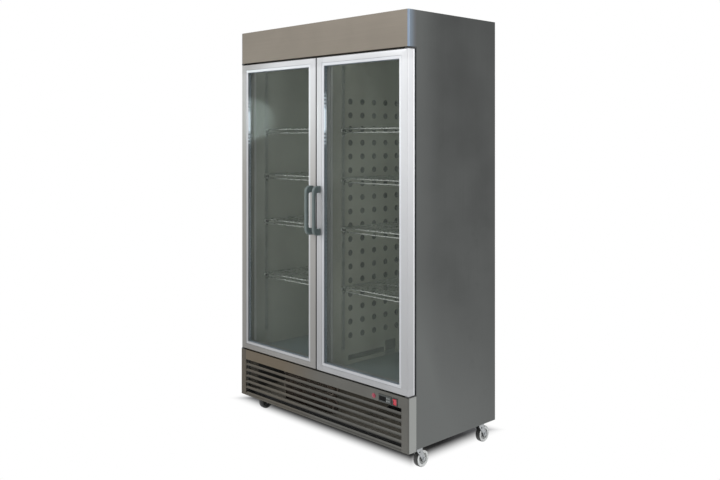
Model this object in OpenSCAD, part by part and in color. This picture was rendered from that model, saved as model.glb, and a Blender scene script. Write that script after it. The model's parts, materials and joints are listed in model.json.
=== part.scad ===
// Upright display refrigerator with two glass doors, in millimetres.
// +Z is up, the doors face -Y and +X is to the right seen from the front.
// The origin is on the floor, under the middle of the whole object.
// Depths named y are measured behind the front face of the doors.

/* [Overall] */
// Width over the side panels
overall_w = 1200; // [1100:10:1300]
// Height from the floor to the top panel
overall_h = 2000; // [1900:10:2100]
// Depth from the front face of the doors to the back panel
body_d = 610; // [590:5:680]
// Depth of the front layer of fascia, doors and base cover
front_t = 50; // [50:1:56]

/* [Cabinet] */
// Thickness of the outer and inner sheets
sheet_t = 1; // [0.8:0.1:1.4]
// Thickness of the insulated walls over both sheets
wall_t = 45; // [42:1:50]
// Width of the folded edges of the outer panels
flange_w = 11; // [9:1:12]
// Depth of the front frame that the door seals close on
frame_bar_t = 14; // [10:1:18]
// Height of the space for the evaporator
evaporator_space_h = 104; // [100:1:120]
// Height of the sill above the bottom edge of the doors
sill_h = 33; // [30:1:36]
// Depth of the floor well behind the sill
well_d = 30; // [20:1:34]
// Hairline joint between sheets and bars that meet
seam = 0.2; // [0.1:0.05:0.4]

/* [Fascia and base cover] */
// Height of the fascia
fascia_h = 160; // [150:1:180]
// Height of the base cover
cover_h = 238; // [236:1:250]
// Distance of the base cover's lower edge below the side panels
cover_drop = 8; // [0:1:10]
// Thickness of the fascia and base cover sheets
cover_t = 1.2; // [1:0.1:1.6]
// Outer radius of the fascia's upright corners
fascia_r = 9; // [4:1:12]
// Outer radius of the base cover's upright corners
cover_r = 3; // [2:0.5:6]
// Depth that the top and bottom folds stop short of the cabinet
fold_gap = 5; // [5:0.5:8]
// Number of louvres in the base cover
louvre_count = 6; // [4:1:7]
// Height from one louvre to the next
louvre_pitch = 30.2; // [28:0.2:31]
// Height of the flat face of a louvre
louvre_face = 5.5; // [4:0.5:8]
// Rise and depth of the sloping blade of a louvre
louvre_rise = 5.5; // [4:0.5:9]
// Distance of the louvres from the ends of the base cover
louvre_margin = 41; // [36:1:60]
// Height of the lowest louvre above the base cover's lower edge
louvre_bottom = 7; // [5:1:9]

/* [Doors] */
// Gap between the two doors
door_gap = 6; // [5:0.5:8]
// Distance of the doors' outer edges inside the side panels
door_inset = 4; // [3:0.5:6]
// Gap between the doors and the fascia
door_gap_top = 9; // [8.5:0.5:12]
// Gap between the doors and the base cover
door_gap_bottom = 6; // [5.8:0.1:8]
// Depth of the door frame
door_t = 43; // [41:0.5:44]
// Width of the upright door frame members
stile_w = 52; // [46:1:60]
// Width of the level door frame members
rail_w = 41; // [38:1:50]
// Radius of the door frame's front edges
door_edge_r = 5; // [2:0.5:7]
// Width of the glazing bead
bead_w = 13; // [8:1:15]
// Depth of the glazing bead's outer edge behind the door frame's face
bead_step = 0.8; // [0.4:0.1:1.5]
// Depth of the glazing bead's inner edge behind the door frame's face
bead_slope = 4; // [2.5:0.1:4.4]
// Depth of the outer pane behind the door frame's face
glass_y = 5; // [4.8:0.1:7]
// Thickness of each pane
glass_t = 4; // [3:0.5:5]
// Space between the two panes
glass_gap = 12; // [9:1:14]
// Depth of the panes' edges in the door frame
glass_grip = 10; // [8:1:16]
// Width of the spacer bar between the panes
spacer_w = 8; // [6:0.5:9]
// Distance of the spacer bar's inner face inside the sight edge
spacer_show = 1.5; // [0.5:0.5:2]
// Clearance of the glazing in its groove
glass_clear = 0.3; // [0.2:0.1:0.5]
// Width of the door seal
gasket_w = 18; // [15:1:19]
// Distance of the door seal inside the edge of the door
gasket_inset = 8; // [7:0.5:9]
// Gap between the closed door seal and the front frame
seal_gap = 0.3; // [0.25:0.05:0.5]

/* [Hinges] */
// Distance of the hinge pins inside the outer face of the side panels
pivot_in = 15; // [14:0.5:17]
// Depth of the hinge pins behind the front face of the doors
pivot_y = 28; // [27:0.5:30]
// Radius of the hinge pins
hinge_pin_r = 5; // [3:0.5:6]
// Radial clearance of the hinge pins in the doors
hinge_clear = 0.05; // [0.03:0.01:0.1]
// Depth of the hinge pins in the doors
hinge_pin_l = 18; // [12:1:24]
// Thickness of the hinge brackets
bracket_t = 4; // [3:0.5:4.2]
// Height of the hinge brackets' upright legs
bracket_h = 42; // [36:1:50]
// Width of the hinge brackets' upright legs
bracket_w = 50; // [45:1:60]

/* [Handles] */
// Height of the handles
handle_h = 236; // [200:2:280]
// Height of the middle of the handles above the floor
handle_z = 1102; // [1000:5:1200]
// Distance of the handles' middle from the meeting edge of the doors
handle_in = 24; // [20:1:28]
// Distance of the grips' front in front of the doors
handle_out = 45; // [40:1:60]
// Width of the grips
grip_w = 18; // [14:1:24]
// Thickness of the grips
grip_t = 14; // [10:1:18]
// Height of each foot of the handles at the door
handle_foot_h = 33; // [24:1:40]
// Outer radius of the handles' corners
handle_r = 28; // [18:1:32]
// Radius of the finger space's corners
finger_r = 16; // [8:1:20]
// Radius of the grips' front edges
grip_r = 6; // [2:0.5:6.5]

/* [Air duct and shelves] */
// Width of the duct that parts the two compartments
duct_w = 100; // [96:1:120]
// Thickness of the duct panels
duct_t = 1.5; // [1:0.1:2]
// Rows of holes in a duct panel
hole_rows = 18; // [10:1:20]
// Columns of holes in a duct panel
hole_columns = 5; // [3:1:6]
// Diameter of the holes in the duct panels
hole_d = 30; // [16:1:36]
// Height of the lowest row of holes above the floor
hole_low = 140; // [120:1:180]
// Distance of the highest row of holes below the ceiling
hole_high = 225; // [100:1:300]
// Depth of the first column of holes behind the front frame
hole_front = 116; // [100:1:130]
// Distance of the last column of holes from the rear wall
hole_rear = 57; // [50:1:80]
// Width and height of the square opening low in a duct panel
outlet_size = 74; // [50:1:90]
// Height of the long slot low in a duct panel
return_h = 26; // [16:1:40]
// Length of the long slot low in a duct panel
return_l = 252; // [150:2:260]
// Height of the long slot above the floor
return_z = 19; // [10:1:30]
// Height of the lowest shelf above the floor on which the object stands
shelf_low_z = 730; // [650:5:760]
// Spacing of the slots in the shelf standards
slot_pitch = 47.8; // [44:0.2:49]
// Number of slot spacings from the lowest shelf up to each shelf
shelf_steps = [0, 6, 11, 16];
// Clearance of the shelves beside the walls
shelf_clear = 4; // [3.5:0.5:8]
// Depth of the shelves' front edge behind the doors' front face
shelf_front_y = 112; // [100:1:125]
// Clearance of the shelves from the rear wall
shelf_rear_clear = 6; // [4:1:30]
// Diameter of the shelves' frame rods
rod_d = 6; // [5:0.5:8]
// Diameter of the shelves' thin wires
wire_d = 3.6; // [2.5:0.1:4.5]
// Spacing of the shelves' thin wires
wire_pitch = 29; // [22:1:40]
// Drop of the lower front rod of the shelves
rod_drop = 18; // [14:1:26]
// Width of the shelf standards
standard_w = 18; // [14:1:20]
// Thickness of the shelf standards
standard_t = 3; // [2:0.5:3]
// Depth of the front standards behind the doors' front face
standard_front_y = 131; // [126:1:135]
// Distance of the rear standards' middle from the rear wall
standard_rear = 20; // [16:1:24]
// Height of the shelf clips
clip_h = 35; // [26:1:40]

/* [Controls] */
// Height of the controls above the floor
control_z = 303; // [302:0.5:306]
// Distance of the pilot lamp from the cabinet's side
lamp_x = 209; // [200:1:260]
// Diameter of the pilot lamp's lens
lamp_d = 22; // [16:1:24]
// Distance of the thermostat's middle from the cabinet's side
thermostat_x = 139; // [135:1:145]
// Width of the thermostat's bezel
thermostat_w = 78; // [72:1:80]
// Height of the thermostat's bezel
thermostat_h = 34; // [30:1:35]
// Width of the thermostat's display
display_w = 42; // [34:1:44]
// Height of the thermostat's display
display_h = 20; // [14:1:22]
// Spacing of the thermostat's buttons
button_pitch = 12; // [10.5:0.5:13]
// Width and height of a thermostat button
button_size = 8; // [6:0.5:9]
// Travel of a thermostat button
button_travel = 1; // [0.6:0.1:1.4]
// Distance of the power switch from the cabinet's side
switch_x = 79; // [74:1:81]
// Width of the power switch's bezel
switch_w = 28; // [24:1:30]
// Height of the power switch's bezel
switch_h = 34; // [30:1:35]
// Rim of the power switch's bezel round the rocker
switch_rim = 3; // [2.5:0.5:4]

/* [Refrigeration] */
// Diameter of the compressor's shell
compressor_d = 170; // [140:2:180]
// Height of the compressor's shell
compressor_h = 146; // [120:2:150]
// Width of the condenser
condenser_w = 340; // [300:5:400]
// Depth of the condenser
condenser_d = 56; // [44:1:66]
// Diameter of the condenser fan
fan_d = 160; // [130:2:164]
// Number of blades on each fan
fan_blades = 5; // [3:1:7]
// Width of the evaporator
evaporator_w = 760; // [600:10:800]
// Depth of the evaporator
evaporator_d = 110; // [90:2:130]
// Diameter of the evaporator fan
small_fan_d = 84; // [60:2:86]
// Diameter of the coils' tubes
tube_d = 9.5; // [6:0.5:10]
// Bore radius of the mains cable gland
gland_r = 4.5; // [3:0.5:6]

/* [Castors] */
// Height from the floor to the cabinet's base
castor_h = 104; // [102:1:110]
// Diameter of the wheels
wheel_d = 75; // [60:1:78]
// Width of the wheels
wheel_w = 26; // [20:1:30]
// Distance from the swivel's axis back to the axle
trail = 28; // [22:1:30]
// Distance of the swivels inside the outer face of the side panels
castor_in = 44; // [42:1:60]
// Depth of the front swivels behind the doors' front face
castor_front_y = 101; // [95:1:120]
// Distance of the rear swivels from the back
castor_rear = 70; // [68:1:90]
// Radius of the axles
axle_r = 4; // [3:0.5:5]
// Radial clearance of the wheels on the axles and the forks on the swivels
wheel_clear = 0.05; // [0.03:0.01:0.1]

/* [Hidden] */
$fn = 48;
cut = 1; // how far a cutting solid runs past the face that it cuts

// Colours of the finishes
steel_grey = [0.44, 0.45, 0.44];
warm_grey = [0.57, 0.54, 0.49];
frame_silver = [0.84, 0.85, 0.86];
handle_teal = [0.43, 0.51, 0.49];
liner_steel = [0.62, 0.64, 0.62];
wire_grey = [0.70, 0.71, 0.70];
dark_plastic = [0.12, 0.12, 0.12];
zinc = [0.66, 0.67, 0.68];
copper = [0.72, 0.45, 0.30];
lamp_red = [0.80, 0.10, 0.16];

// Main planes
half_w = overall_w/2;
front_y = (handle_out - body_d)/2;
panel_z = castor_h;
cover_z = panel_z - cover_drop;
cover_top = cover_z + cover_h;
door_z = cover_top + door_gap_bottom;
fascia_z = overall_h - fascia_h;
door_top = fascia_z - door_gap_top;
sill_top = door_z + sill_h;
floor_z = sill_top - well_d;
under_z = floor_z - wall_t;
roof_z = overall_h - wall_t;
ceiling_z = roof_z - evaporator_space_h;
inner_x = half_w - wall_t;
inner_y = front_t + frame_bar_t;
rear_y = body_d - wall_t;
skin_x = half_w - sheet_t;
skin_y = body_d - 2*sheet_t;
duct_x = duct_w/2;

// Doors
door_h = door_top - door_z;
door_w = half_w - door_inset - door_gap/2;
door_x = door_gap/2 + door_w/2;
door_mid_z = (door_z + door_top)/2;
sight_w = door_w - 2*stile_w;
sight_h = door_h - 2*rail_w;
pane_w = sight_w + 2*glass_grip;
pane_h = sight_h + 2*glass_grip;
unit_t = 2*glass_t + glass_gap;
opening_top = door_top - gasket_inset - gasket_w - glass_y;
pivot_x = half_w - pivot_in;

// Shelves
shelf_w = inner_x - duct_x - 2*shelf_clear;
shelf_d = rear_y - shelf_rear_clear - shelf_front_y;
shelf_x = (inner_x + duct_x)/2;
standard_ys = [standard_front_y, rear_y - standard_rear];
clip_depth = shelf_clear + rod_d;
standard_end = 60;
slots_down = floor((shelf_low_z - floor_z - standard_end)/slot_pitch);
slots_up = floor((ceiling_z - shelf_low_z - standard_end)/slot_pitch);

// Machine space
deck_t = 2;
deck_z = panel_z + deck_t;
wheel_r = wheel_d/2;
plate_t = 2.5;
race_h = 9;
race_r = 22;
fork_gap = 0.3;
fork_t = 2.5;
fork_top = castor_h - plate_t - race_h - fork_gap;
castor_x = half_w - castor_in;
lamp_at = half_w - lamp_x;
thermostat_at = half_w - thermostat_x;
switch_at = half_w - switch_x;
castor_rear_y = body_d - castor_rear;

module place() translate([0, front_y, 0]) children();
module sided(side) if (side > 0) children(); else mirror([1, 0, 0]) children();

// Box from its lowest to its highest corner
module block(low, high) translate(low) cube(high - low);

// Cylinders along X and along Y, from the point at which they start
module rod_x(at, length, r) translate(at) rotate([0, 90, 0]) cylinder(h = length, r = r);
module rod_y(at, length, r) translate(at) rotate([-90, 0, 0]) cylinder(h = length, r = r);

// Flat outline drawn as X and Z, given a depth in Y
module upright(depth) translate([0, depth, 0]) rotate([90, 0, 0]) linear_extrude(depth) children();

// Rectangle with round corners, about its middle
module rounded(w, h, r) {
    square([w - 2*r, h], center = true);
    square([w, h - 2*r], center = true);
    for (x = [-1, 1], y = [-1, 1]) translate([x*(w/2 - r), y*(h/2 - r)]) circle(r);
}

// Plan with two round corners at the front, from the front edge back
module fronted(w, d, r) {
    translate([-w/2, r]) square([w, d - r]);
    translate([r - w/2, 0]) square([w - 2*r, d]);
    for (x = [-1, 1]) translate([x*(w/2 - r), r]) circle(r);
}

// Slab about the middle of its face, with its front edges rounded
module soft_slab(w, h, d, r) intersection() {
    translate([0, 0, -h/2]) linear_extrude(h) fronted(w, d, r);
    rotate([0, 90, 0]) translate([0, 0, -w/2]) linear_extrude(w) fronted(h, d, r);
}

// Upright window about its middle, starting at a depth
module window(w, h, from, d) block([-w/2, from, -h/2], [w/2, from + d, h/2]);

// Ring round a rectangle with mitred corners; a section point is a depth and a distance inwards
module mitred_ring(w, h, section, reach) for (turn = [0:3]) {
    long = turn%2 == 0 ? w : h;
    across = turn%2 == 0 ? h : w;
    rotate([0, 90*turn, 0]) translate([0, 0, -across/2]) intersection() {
        rotate([90, 0, 90]) translate([0, 0, -long/2]) linear_extrude(long) polygon(section);
        translate([0, -cut, 0]) upright(front_t)
            polygon([[-long/2, 0], [long/2, 0], [long/2 - reach, reach], [reach - long/2, reach]]);
    }
}

// Outer cabinet
module side_panel(side) color(steel_grey) place() sided(side) {
    block([skin_x, front_t, panel_z], [half_w, body_d, overall_h]);
    for (y = [front_t, body_d - sheet_t])
        block([half_w - flange_w, y, panel_z], [skin_x, y + sheet_t, overall_h - sheet_t - seam]);
    block([skin_x - flange_w, front_t, panel_z - sheet_t], [half_w, body_d, panel_z]);
}
module top_panel() color(steel_grey) place() {
    block([seam - skin_x, front_t, overall_h - sheet_t], [skin_x - seam, body_d, overall_h]);
    block([flange_w + seam - half_w, front_t, overall_h - flange_w],
          [half_w - flange_w - seam, front_t + sheet_t, overall_h]);
}
module bottom_panel() color(zinc) place()
    block([seam - skin_x, inner_y + seam, under_z], [skin_x - seam, skin_y - seam, under_z + sheet_t]);
foam_hole_r = 4;
module back_panel() color(zinc) place() difference() {
    block([seam - skin_x, skin_y, under_z], [skin_x - seam, skin_y + sheet_t, overall_h - sheet_t]);
    for (x = [-1, 1]) rod_y([x*inner_x/2, skin_y - cut, under_z + wall_t/2], sheet_t + 2*cut, foam_hole_r);
}
module insulation() color("khaki") place() difference() {
    block([-skin_x, inner_y, under_z + sheet_t], [skin_x, skin_y, overall_h - sheet_t]);
    block([-inner_x - sheet_t, inner_y - cut, floor_z - sheet_t],
          [inner_x + sheet_t, rear_y + sheet_t, roof_z + sheet_t]);
    for (x = [-1, 1]) drain_cut(x);
}
drain_r = 9;
module drain_cut(side) translate([side*shelf_x, rear_y - wall_t, under_z - cut])
    cylinder(h = 2*wall_t, r = drain_r);

// Inner cabinet
module liner_walls() color(liner_steel) place() {
    for (side = [-1, 1]) sided(side) block([inner_x, inner_y, floor_z - sheet_t],
                                           [inner_x + sheet_t, rear_y + sheet_t, roof_z + sheet_t]);
    block([seam - inner_x, rear_y, floor_z - sheet_t], [inner_x - seam, rear_y + sheet_t, roof_z + sheet_t]);
    block([seam - inner_x, inner_y, roof_z], [inner_x - seam, rear_y - seam, roof_z + sheet_t]);
}
module liner_ceiling() color(liner_steel) place() difference() {
    union() {
        block([seam - inner_x, inner_y + seam, ceiling_z],
              [inner_x - seam, rear_y - seam, ceiling_z + duct_t]);
        for (side = [-1, 1]) sided(side) block([inner_x - seam - sheet_t, inner_y + seam, ceiling_z],
                                               [inner_x - seam, rear_y - seam, ceiling_z + flange_w]);
    }
    translate([0, small_fan_y, ceiling_z - cut]) cylinder(h = duct_t + 2*cut, r = small_fan_d/2);
    for (side = [-1, 1], slot = [0:intake_slots - 1]) sided(side)
        block([duct_w + slot*intake_pitch, intake_y, ceiling_z - cut],
              [duct_w + slot*intake_pitch + intake_w, intake_y + intake_l, ceiling_z + duct_t + cut]);
}
intake_slots = 14;
intake_in = 60; // from the front frame to the intake slots
intake_pitch = (inner_x - 2*duct_w)/intake_slots;
intake_w = 10;
intake_l = 90;
intake_y = inner_y + intake_in;
small_fan_in = 110; // from the front frame to the evaporator fan
small_fan_y = inner_y + small_fan_in;
module liner_floor() color(liner_steel) place() difference() {
    union() {
        block([seam - inner_x, inner_y + seam, floor_z - sheet_t], [inner_x - seam, rear_y - seam, floor_z]);
        block([seam - inner_x, inner_y + seam, floor_z - sheet_t],
              [inner_x - seam, inner_y + seam + sheet_t, sill_top - seam]);
    }
    for (x = [-1, 1]) drain_cut(x);
}
module front_frame() color(frame_silver) place() {
    for (side = [-1, 1]) sided(side) {
        block([inner_x, front_t, under_z], [half_w - flange_w - seam, inner_y, overall_h - flange_w - seam]);
        block([inner_x, front_t + sheet_t + seam, under_z],
              [skin_x - seam, inner_y, overall_h - flange_w - seam]);
    }
    block([seam - inner_x, front_t, opening_top], [inner_x - seam, inner_y, overall_h - flange_w - seam]);
    block([seam - inner_x, front_t, under_z], [inner_x - seam, inner_y, sill_top]);
    block([-duct_x, front_t, sill_top + seam], [duct_x, inner_y, opening_top - seam]);
}
hole_pitch_z = (ceiling_z - floor_z - hole_low - hole_high)/(hole_rows - 1);
hole_pitch_y = (rear_y - inner_y - hole_front - hole_rear)/(hole_columns - 1);
outlet_in = 10;
return_gap = 7;
outlet_y = rear_y - hole_rear - outlet_in - outlet_size;
module air_duct() color(liner_steel) place() for (side = [-1, 1]) sided(side) difference() {
    block([duct_x - duct_t, inner_y + seam + sheet_t + seam, floor_z], [duct_x, rear_y - seam, ceiling_z]);
    for (row = [0:hole_rows - 1], column = [0:hole_columns - 1])
        rod_x([duct_x - duct_t - cut, inner_y + hole_front + column*hole_pitch_y,
               floor_z + hole_low + row*hole_pitch_z], duct_t + 2*cut, hole_d/2);
    block([duct_x - duct_t - cut, outlet_y, floor_z + seam + duct_t],
          [duct_x + cut, outlet_y + outlet_size, floor_z + outlet_size]);
    block([duct_x - duct_t - cut, outlet_y - return_gap - return_l, floor_z + return_z],
          [duct_x + cut, outlet_y - return_gap, floor_z + return_z + return_h]);
}

// Fans: a rotor turns about its own +Z on the housing's shaft
blade_t = 1.6;
blade_tilt = 32;
blade_root = 2; // how far a blade runs into the hub
shaft_r = 2.5;
module fan_rotor(tip_r, hub_r, deep, chord, shaft_r) difference() {
    union() {
        cylinder(h = deep, r = hub_r);
        intersection() {
            for (blade = [0:fan_blades - 1]) rotate(360*blade/fan_blades)
                translate([0, 0, deep/2]) rotate([blade_tilt, 0, 0])
                    translate([hub_r - blade_root, -chord/2, -blade_t/2]) cube([tip_r, chord, blade_t]);
            cylinder(h = deep, r = tip_r);
        }
    }
    translate([0, 0, -cut]) cylinder(h = deep + 2*cut, r = shaft_r + wheel_clear);
}

housing_r = 6;
housing_hole_r = 2.2;
housing_hole_in = 7;
housing_arm_w = 5;
housing_arm_t = 3;
module fan_housing(side_w, bore_r, deep, motor_r, motor_h, shaft_h) {
    linear_extrude(deep) difference() {
        rounded(side_w, side_w, housing_r);
        circle(bore_r);
        for (x = [-1, 1], y = [-1, 1]) translate([x, y]*(side_w/2 - housing_hole_in)) circle(housing_hole_r);
    }
    cylinder(h = motor_h, r = motor_r);
    cylinder(h = shaft_h, r = shaft_r);
    for (arm = [0:3]) rotate(45 + 90*arm)
        block([motor_r - 1, -housing_arm_w/2, 0], [bore_r + housing_arm_t, housing_arm_w/2, housing_arm_t]);
}

// Coil of finned tubes about the middle of its base, with its tubes along X
fin_t = 0.8;
fin_lift = 0.6;
coil_end = 4; // length of bare tube past the end plates
plate_over = 1; // how far the end plates stand past the fins
module finned_coil(w, d, h, rows, layers, fin_pitch) {
    step_y = d/rows;
    step_z = h/layers;
    fins = floor((w - 2*coil_end)/fin_pitch);
    for (fin = [0:fins]) translate([-fins*fin_pitch/2 + fin*fin_pitch, 0, 0])
        block([-fin_t/2, -d/2, fin_lift], [fin_t/2, d/2, h]);
    for (end = [-1, 1]) sided(end)
        block([fins*fin_pitch/2 - fin_t, -d/2 - plate_over, 0],
              [fins*fin_pitch/2 + plate_over, d/2 + plate_over, h]);
    for (row = [0:rows - 1], layer = [0:layers - 1])
        rod_x([-w/2, -d/2 + step_y*(row + 0.5), step_z*(layer + 0.5)], w, tube_d/2);
    for (end = [-1, 1], row = [0:rows - 1], layer = [(end > 0 ? 0 : 1):2:layers - 2])
        translate([end*w/2, -d/2 + step_y*(row + 0.5), step_z*(layer + 1)]) rotate([90, 0, 0])
            rotate(end > 0 ? -90 : 90) rotate_extrude(angle = 180) translate([step_z/2, 0]) circle(tube_d/2);
}

evaporator_z = ceiling_z + duct_t;
evaporator_gap_top = 22;
evaporator_gap_rear = 24;
evaporator_fin_pitch = 29;
evaporator_rows = 3;
evaporator_h = evaporator_space_h - duct_t - evaporator_gap_top;
module evaporator_coil() color(zinc) place()
    translate([0, rear_y - evaporator_d/2 - evaporator_gap_rear, evaporator_z])
        finned_coil(evaporator_w, evaporator_d, evaporator_h, evaporator_rows, evaporator_rows,
                    evaporator_fin_pitch);
small_fan_w = small_fan_d + 10;
small_fan_h = 26;
small_motor_r = 17;
small_motor_h = 8;
small_shaft_h = 22;
small_rotor_h = 15;
small_hub_r = 15;
small_chord = 24;
fan_tip_gap = 2;
rotor_lift = 0.5; // gap between a rotor's hub and its motor
module evaporator_fan_housing() color(dark_plastic) place() translate([0, small_fan_y, evaporator_z])
    fan_housing(small_fan_w, small_fan_d/2, small_fan_h, small_motor_r, small_motor_h, small_shaft_h);
module evaporator_fan_rotor() color("gainsboro") place()
    translate([0, small_fan_y, evaporator_z + small_motor_h + rotor_lift])
        fan_rotor(small_fan_d/2 - fan_tip_gap, small_hub_r, small_rotor_h, small_chord, shaft_r);

// Shelves
slot_w = 5;
slot_h = 16;
module shelf_standards() color(wire_grey) place()
    for (side = [-1, 1], wall = [0, 1], y = standard_ys) sided(side) difference() {
        foot = wall == 0 ? duct_x : inner_x - standard_t;
        block([foot, y - standard_w/2, shelf_low_z - (slots_down + 0.5)*slot_pitch],
              [foot + standard_t, y + standard_w/2, shelf_low_z + (slots_up + 0.5)*slot_pitch]);
        for (slot = [-slots_down:slots_up])
            block([foot - cut, y - slot_w/2, shelf_low_z + slot*slot_pitch - rod_d - slot_h],
                  [foot + standard_t + cut, y + slot_w/2, shelf_low_z + slot*slot_pitch - rod_d]);
    }
clip_w = 12;
clip_gap = 0.3;
clip_hook = 3;
clip_lip = 2;
clip_drop = 4;
clip_foot = 3;
module shelf_clips() color(dark_plastic) place()
    for (side = [-1, 1], wall = [0, 1], y = standard_ys, step = shelf_steps)
        sided(side) translate([wall == 0 ? duct_x + standard_t : inner_x - standard_t, y + clip_w/2,
                               shelf_low_z + step*slot_pitch - rod_d - clip_gap])
            mirror([wall, 0, 0]) rotate([90, 0, 0]) linear_extrude(clip_w)
                polygon([[0, 0], [clip_depth, 0], [clip_depth, clip_hook],
                         [clip_depth + clip_lip, clip_hook], [clip_depth + clip_lip, -clip_drop],
                         [clip_foot, rod_d - clip_h], [0, rod_d - clip_h]]);
// A shelf about the middle of its front edge, with the top of its frame rods at Z = 0
wire_lift = 0.6; // height of the wires' middle over the frame rods, as a share of a wire's radius
module wire_shelf() {
    rod_r = rod_d/2;
    wire_r = wire_d/2;
    end_x = shelf_w/2 - rod_r;
    wires = floor((shelf_w - 3*rod_d)/wire_pitch);
    for (y = [rod_r, shelf_d/2, shelf_d - rod_r]) rod_x([-end_x, y, -rod_r], 2*end_x, rod_r);
    rod_x([-end_x, rod_r, -rod_r - rod_drop], 2*end_x, rod_r);
    for (side = [-1, 1]) sided(side) {
        rod_y([end_x, rod_r, -rod_r], shelf_d - rod_d, rod_r);
        for (y = [rod_r, shelf_d - rod_r]) translate([end_x, y, -rod_r]) sphere(rod_r);
        translate([end_x, rod_r, -rod_r - rod_drop]) sphere(rod_r);
        translate([end_x, rod_r, -rod_r - rod_drop]) cylinder(h = rod_drop, r = rod_r);
    }
    for (wire = [0:wires])
        rod_y([(wire - wires/2)*wire_pitch, rod_r/2, wire_r*wire_lift], shelf_d - rod_r, wire_r);
}
module shelves(side) color(wire_grey) place() for (step = shelf_steps)
    translate([side*shelf_x, shelf_front_y, shelf_low_z + step*slot_pitch]) wire_shelf();
tube_r = 8;
tube_y = inner_y + 16;
tube_drop = 14;
tube_hold = 4; // length of tube in each holder
holder_w = 20;
holder_h = 26;
holder_in = 14;
module interior_lamps() color("white") place() for (side = [-1, 1]) sided(side) {
    tube_from = duct_x + holder_in + holder_w - tube_hold;
    tube_to = inner_x - holder_in - holder_w + tube_hold;
    rod_x([tube_from, tube_y, ceiling_z - tube_drop], tube_to - tube_from, tube_r);
    for (x = [duct_x + holder_in, inner_x - holder_in - holder_w])
        block([x, tube_y - holder_w/2, ceiling_z - holder_h], [x + holder_w, tube_y + holder_w/2, ceiling_z]);
}

// Folded covers of the front: plan outline, then the closing folds
module folded_cover(h, r) {
    linear_extrude(h) difference() {
        fronted(overall_w, front_t, r);
        translate([0, cover_t]) fronted(overall_w - 2*cover_t, front_t, max(r - cover_t, 0.5));
    }
    for (z = [0, h - cover_t]) translate([0, 0, z]) linear_extrude(cover_t)
        fronted(overall_w, front_t - fold_gap, r);
}
module fascia() color(warm_grey) place() translate([0, 0, fascia_z]) folded_cover(fascia_h, fascia_r);
louvre_w = overall_w - 2*louvre_margin;
louvre_z = cover_z + louvre_bottom;
louvre_top = louvre_z + louvre_count*louvre_pitch;
blade_edge = 0.9; // thickness of the blade, measured along Y and along Z
blade_hold = 0.5;
module louvre() rotate([90, 0, 90]) translate([0, 0, -louvre_w/2]) linear_extrude(louvre_w)
    polygon([[0, 0], [0, louvre_face], [louvre_rise, louvre_face + louvre_rise],
             [louvre_rise + blade_edge, louvre_face + louvre_rise - blade_edge],
             [cover_t, louvre_face - blade_hold], [cover_t, 0]]);
module base_cover() color(warm_grey) place() {
    difference() {
        translate([0, 0, cover_z]) folded_cover(cover_h, cover_r);
        block([-louvre_w/2, -cut, louvre_z], [louvre_w/2, cover_t + cut, louvre_top]);
        rod_y([lamp_at, -cut, control_z], cover_t + 2*cut, lamp_body_r + glass_clear);
        control_cut(thermostat_at, thermostat_body_w, thermostat_body_h);
        control_cut(switch_at, switch_body_w, switch_body_h);
    }
    for (blade = [0:louvre_count - 1]) translate([0, 0, louvre_z + blade*louvre_pitch]) louvre();
}
module control_cut(x, w, h) translate([x, 0, control_z])
    window(w + 2*glass_clear, h + 2*glass_clear, -cut, cover_t + 2*cut);

// Controls: each front stands proud of the base cover
bezel_t = 3;
bezel_r = 1.2;
bezel_rim = 3; // width of a bezel's rim over the cut-out behind it
lens_rim = 1.6;
lens_h = 4;
lamp_body_r = lamp_d/2 - bezel_rim;
lamp_body_l = 28;
thermostat_body_w = thermostat_w - 2*bezel_rim;
thermostat_body_h = thermostat_h - 2*bezel_rim;
thermostat_body_d = front_t - 6;
switch_body_w = switch_w - 5;
switch_body_h = switch_h - 5;
switch_body_d = 24;
display_in = 5;
display_deep = 1.5;
display_t = 1.1;
display_gap = 0.2;
display_x = display_in + display_w/2 - thermostat_w/2;
buttons_in = 3; // between the display and the buttons
buttons_x = display_x + display_w/2 + buttons_in + button_pitch/2 + button_size/2;
button_gap = 0.3;
button_proud = 1.2;
button_deep = 4;
button_r = 0.8;
module pilot_lamp() color(lamp_red) place() translate([lamp_at, 0, control_z]) rotate([90, 0, 0]) {
    rotate_extrude() intersection() {
        square(lamp_d/2);
        union() {
            square([lamp_d/2, lens_rim]);
            translate([0, -lamp_d]) circle(lamp_d + lens_h, $fn = 96);
        }
    }
    translate([0, 0, -lamp_body_l]) cylinder(h = lamp_body_l, r = lamp_body_r);
}
module thermostat_bezel() color(dark_plastic) place() translate([thermostat_at, 0, control_z]) difference() {
    union() {
        translate([0, -bezel_t, 0]) soft_slab(thermostat_w, thermostat_h, bezel_t, bezel_r);
        window(thermostat_body_w, thermostat_body_h, -cut/2, thermostat_body_d + cut/2);
    }
    translate([display_x, 0, 0]) window(display_w, display_h, -bezel_t - cut, cut + display_deep);
    for (x = [-1, 1], z = [-1, 1]) translate([buttons_x + x*button_pitch/2, 0, z*button_pitch/2])
        window(button_size + 2*button_gap, button_size + 2*button_gap,
               -bezel_t - cut, cut + button_deep + button_travel);
}
module thermostat_display() color([0.05, 0.05, 0.06]) place()
    translate([thermostat_at + display_x, 0, control_z])
        window(display_w - 2*display_gap, display_h - 2*display_gap,
               display_deep - bezel_t - display_t, display_t);
module thermostat_button(column, row) color([0.45, 0.46, 0.47]) place()
    translate([thermostat_at + buttons_x + (column - 0.5)*button_pitch, -bezel_t - button_proud,
               control_z + (0.5 - row)*button_pitch])
        soft_slab(button_size, button_size, button_deep + button_proud - button_gap, button_r);
rocker_w = switch_w - 2*switch_rim;
rocker_h = switch_h - 2*switch_rim;
rocker_y = 5;
rocker_tilt = 7;
rocker_pin_r = 1.5;
rocker_side = 0.5; // gap beside the rocker
rocker_out = 7.5; // from the pin to the rocker's raised ends
rocker_dip = 5.5; // from the pin to the hollow of its face
rocker_edge = 3; // from the pin to the back of its ends
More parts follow.
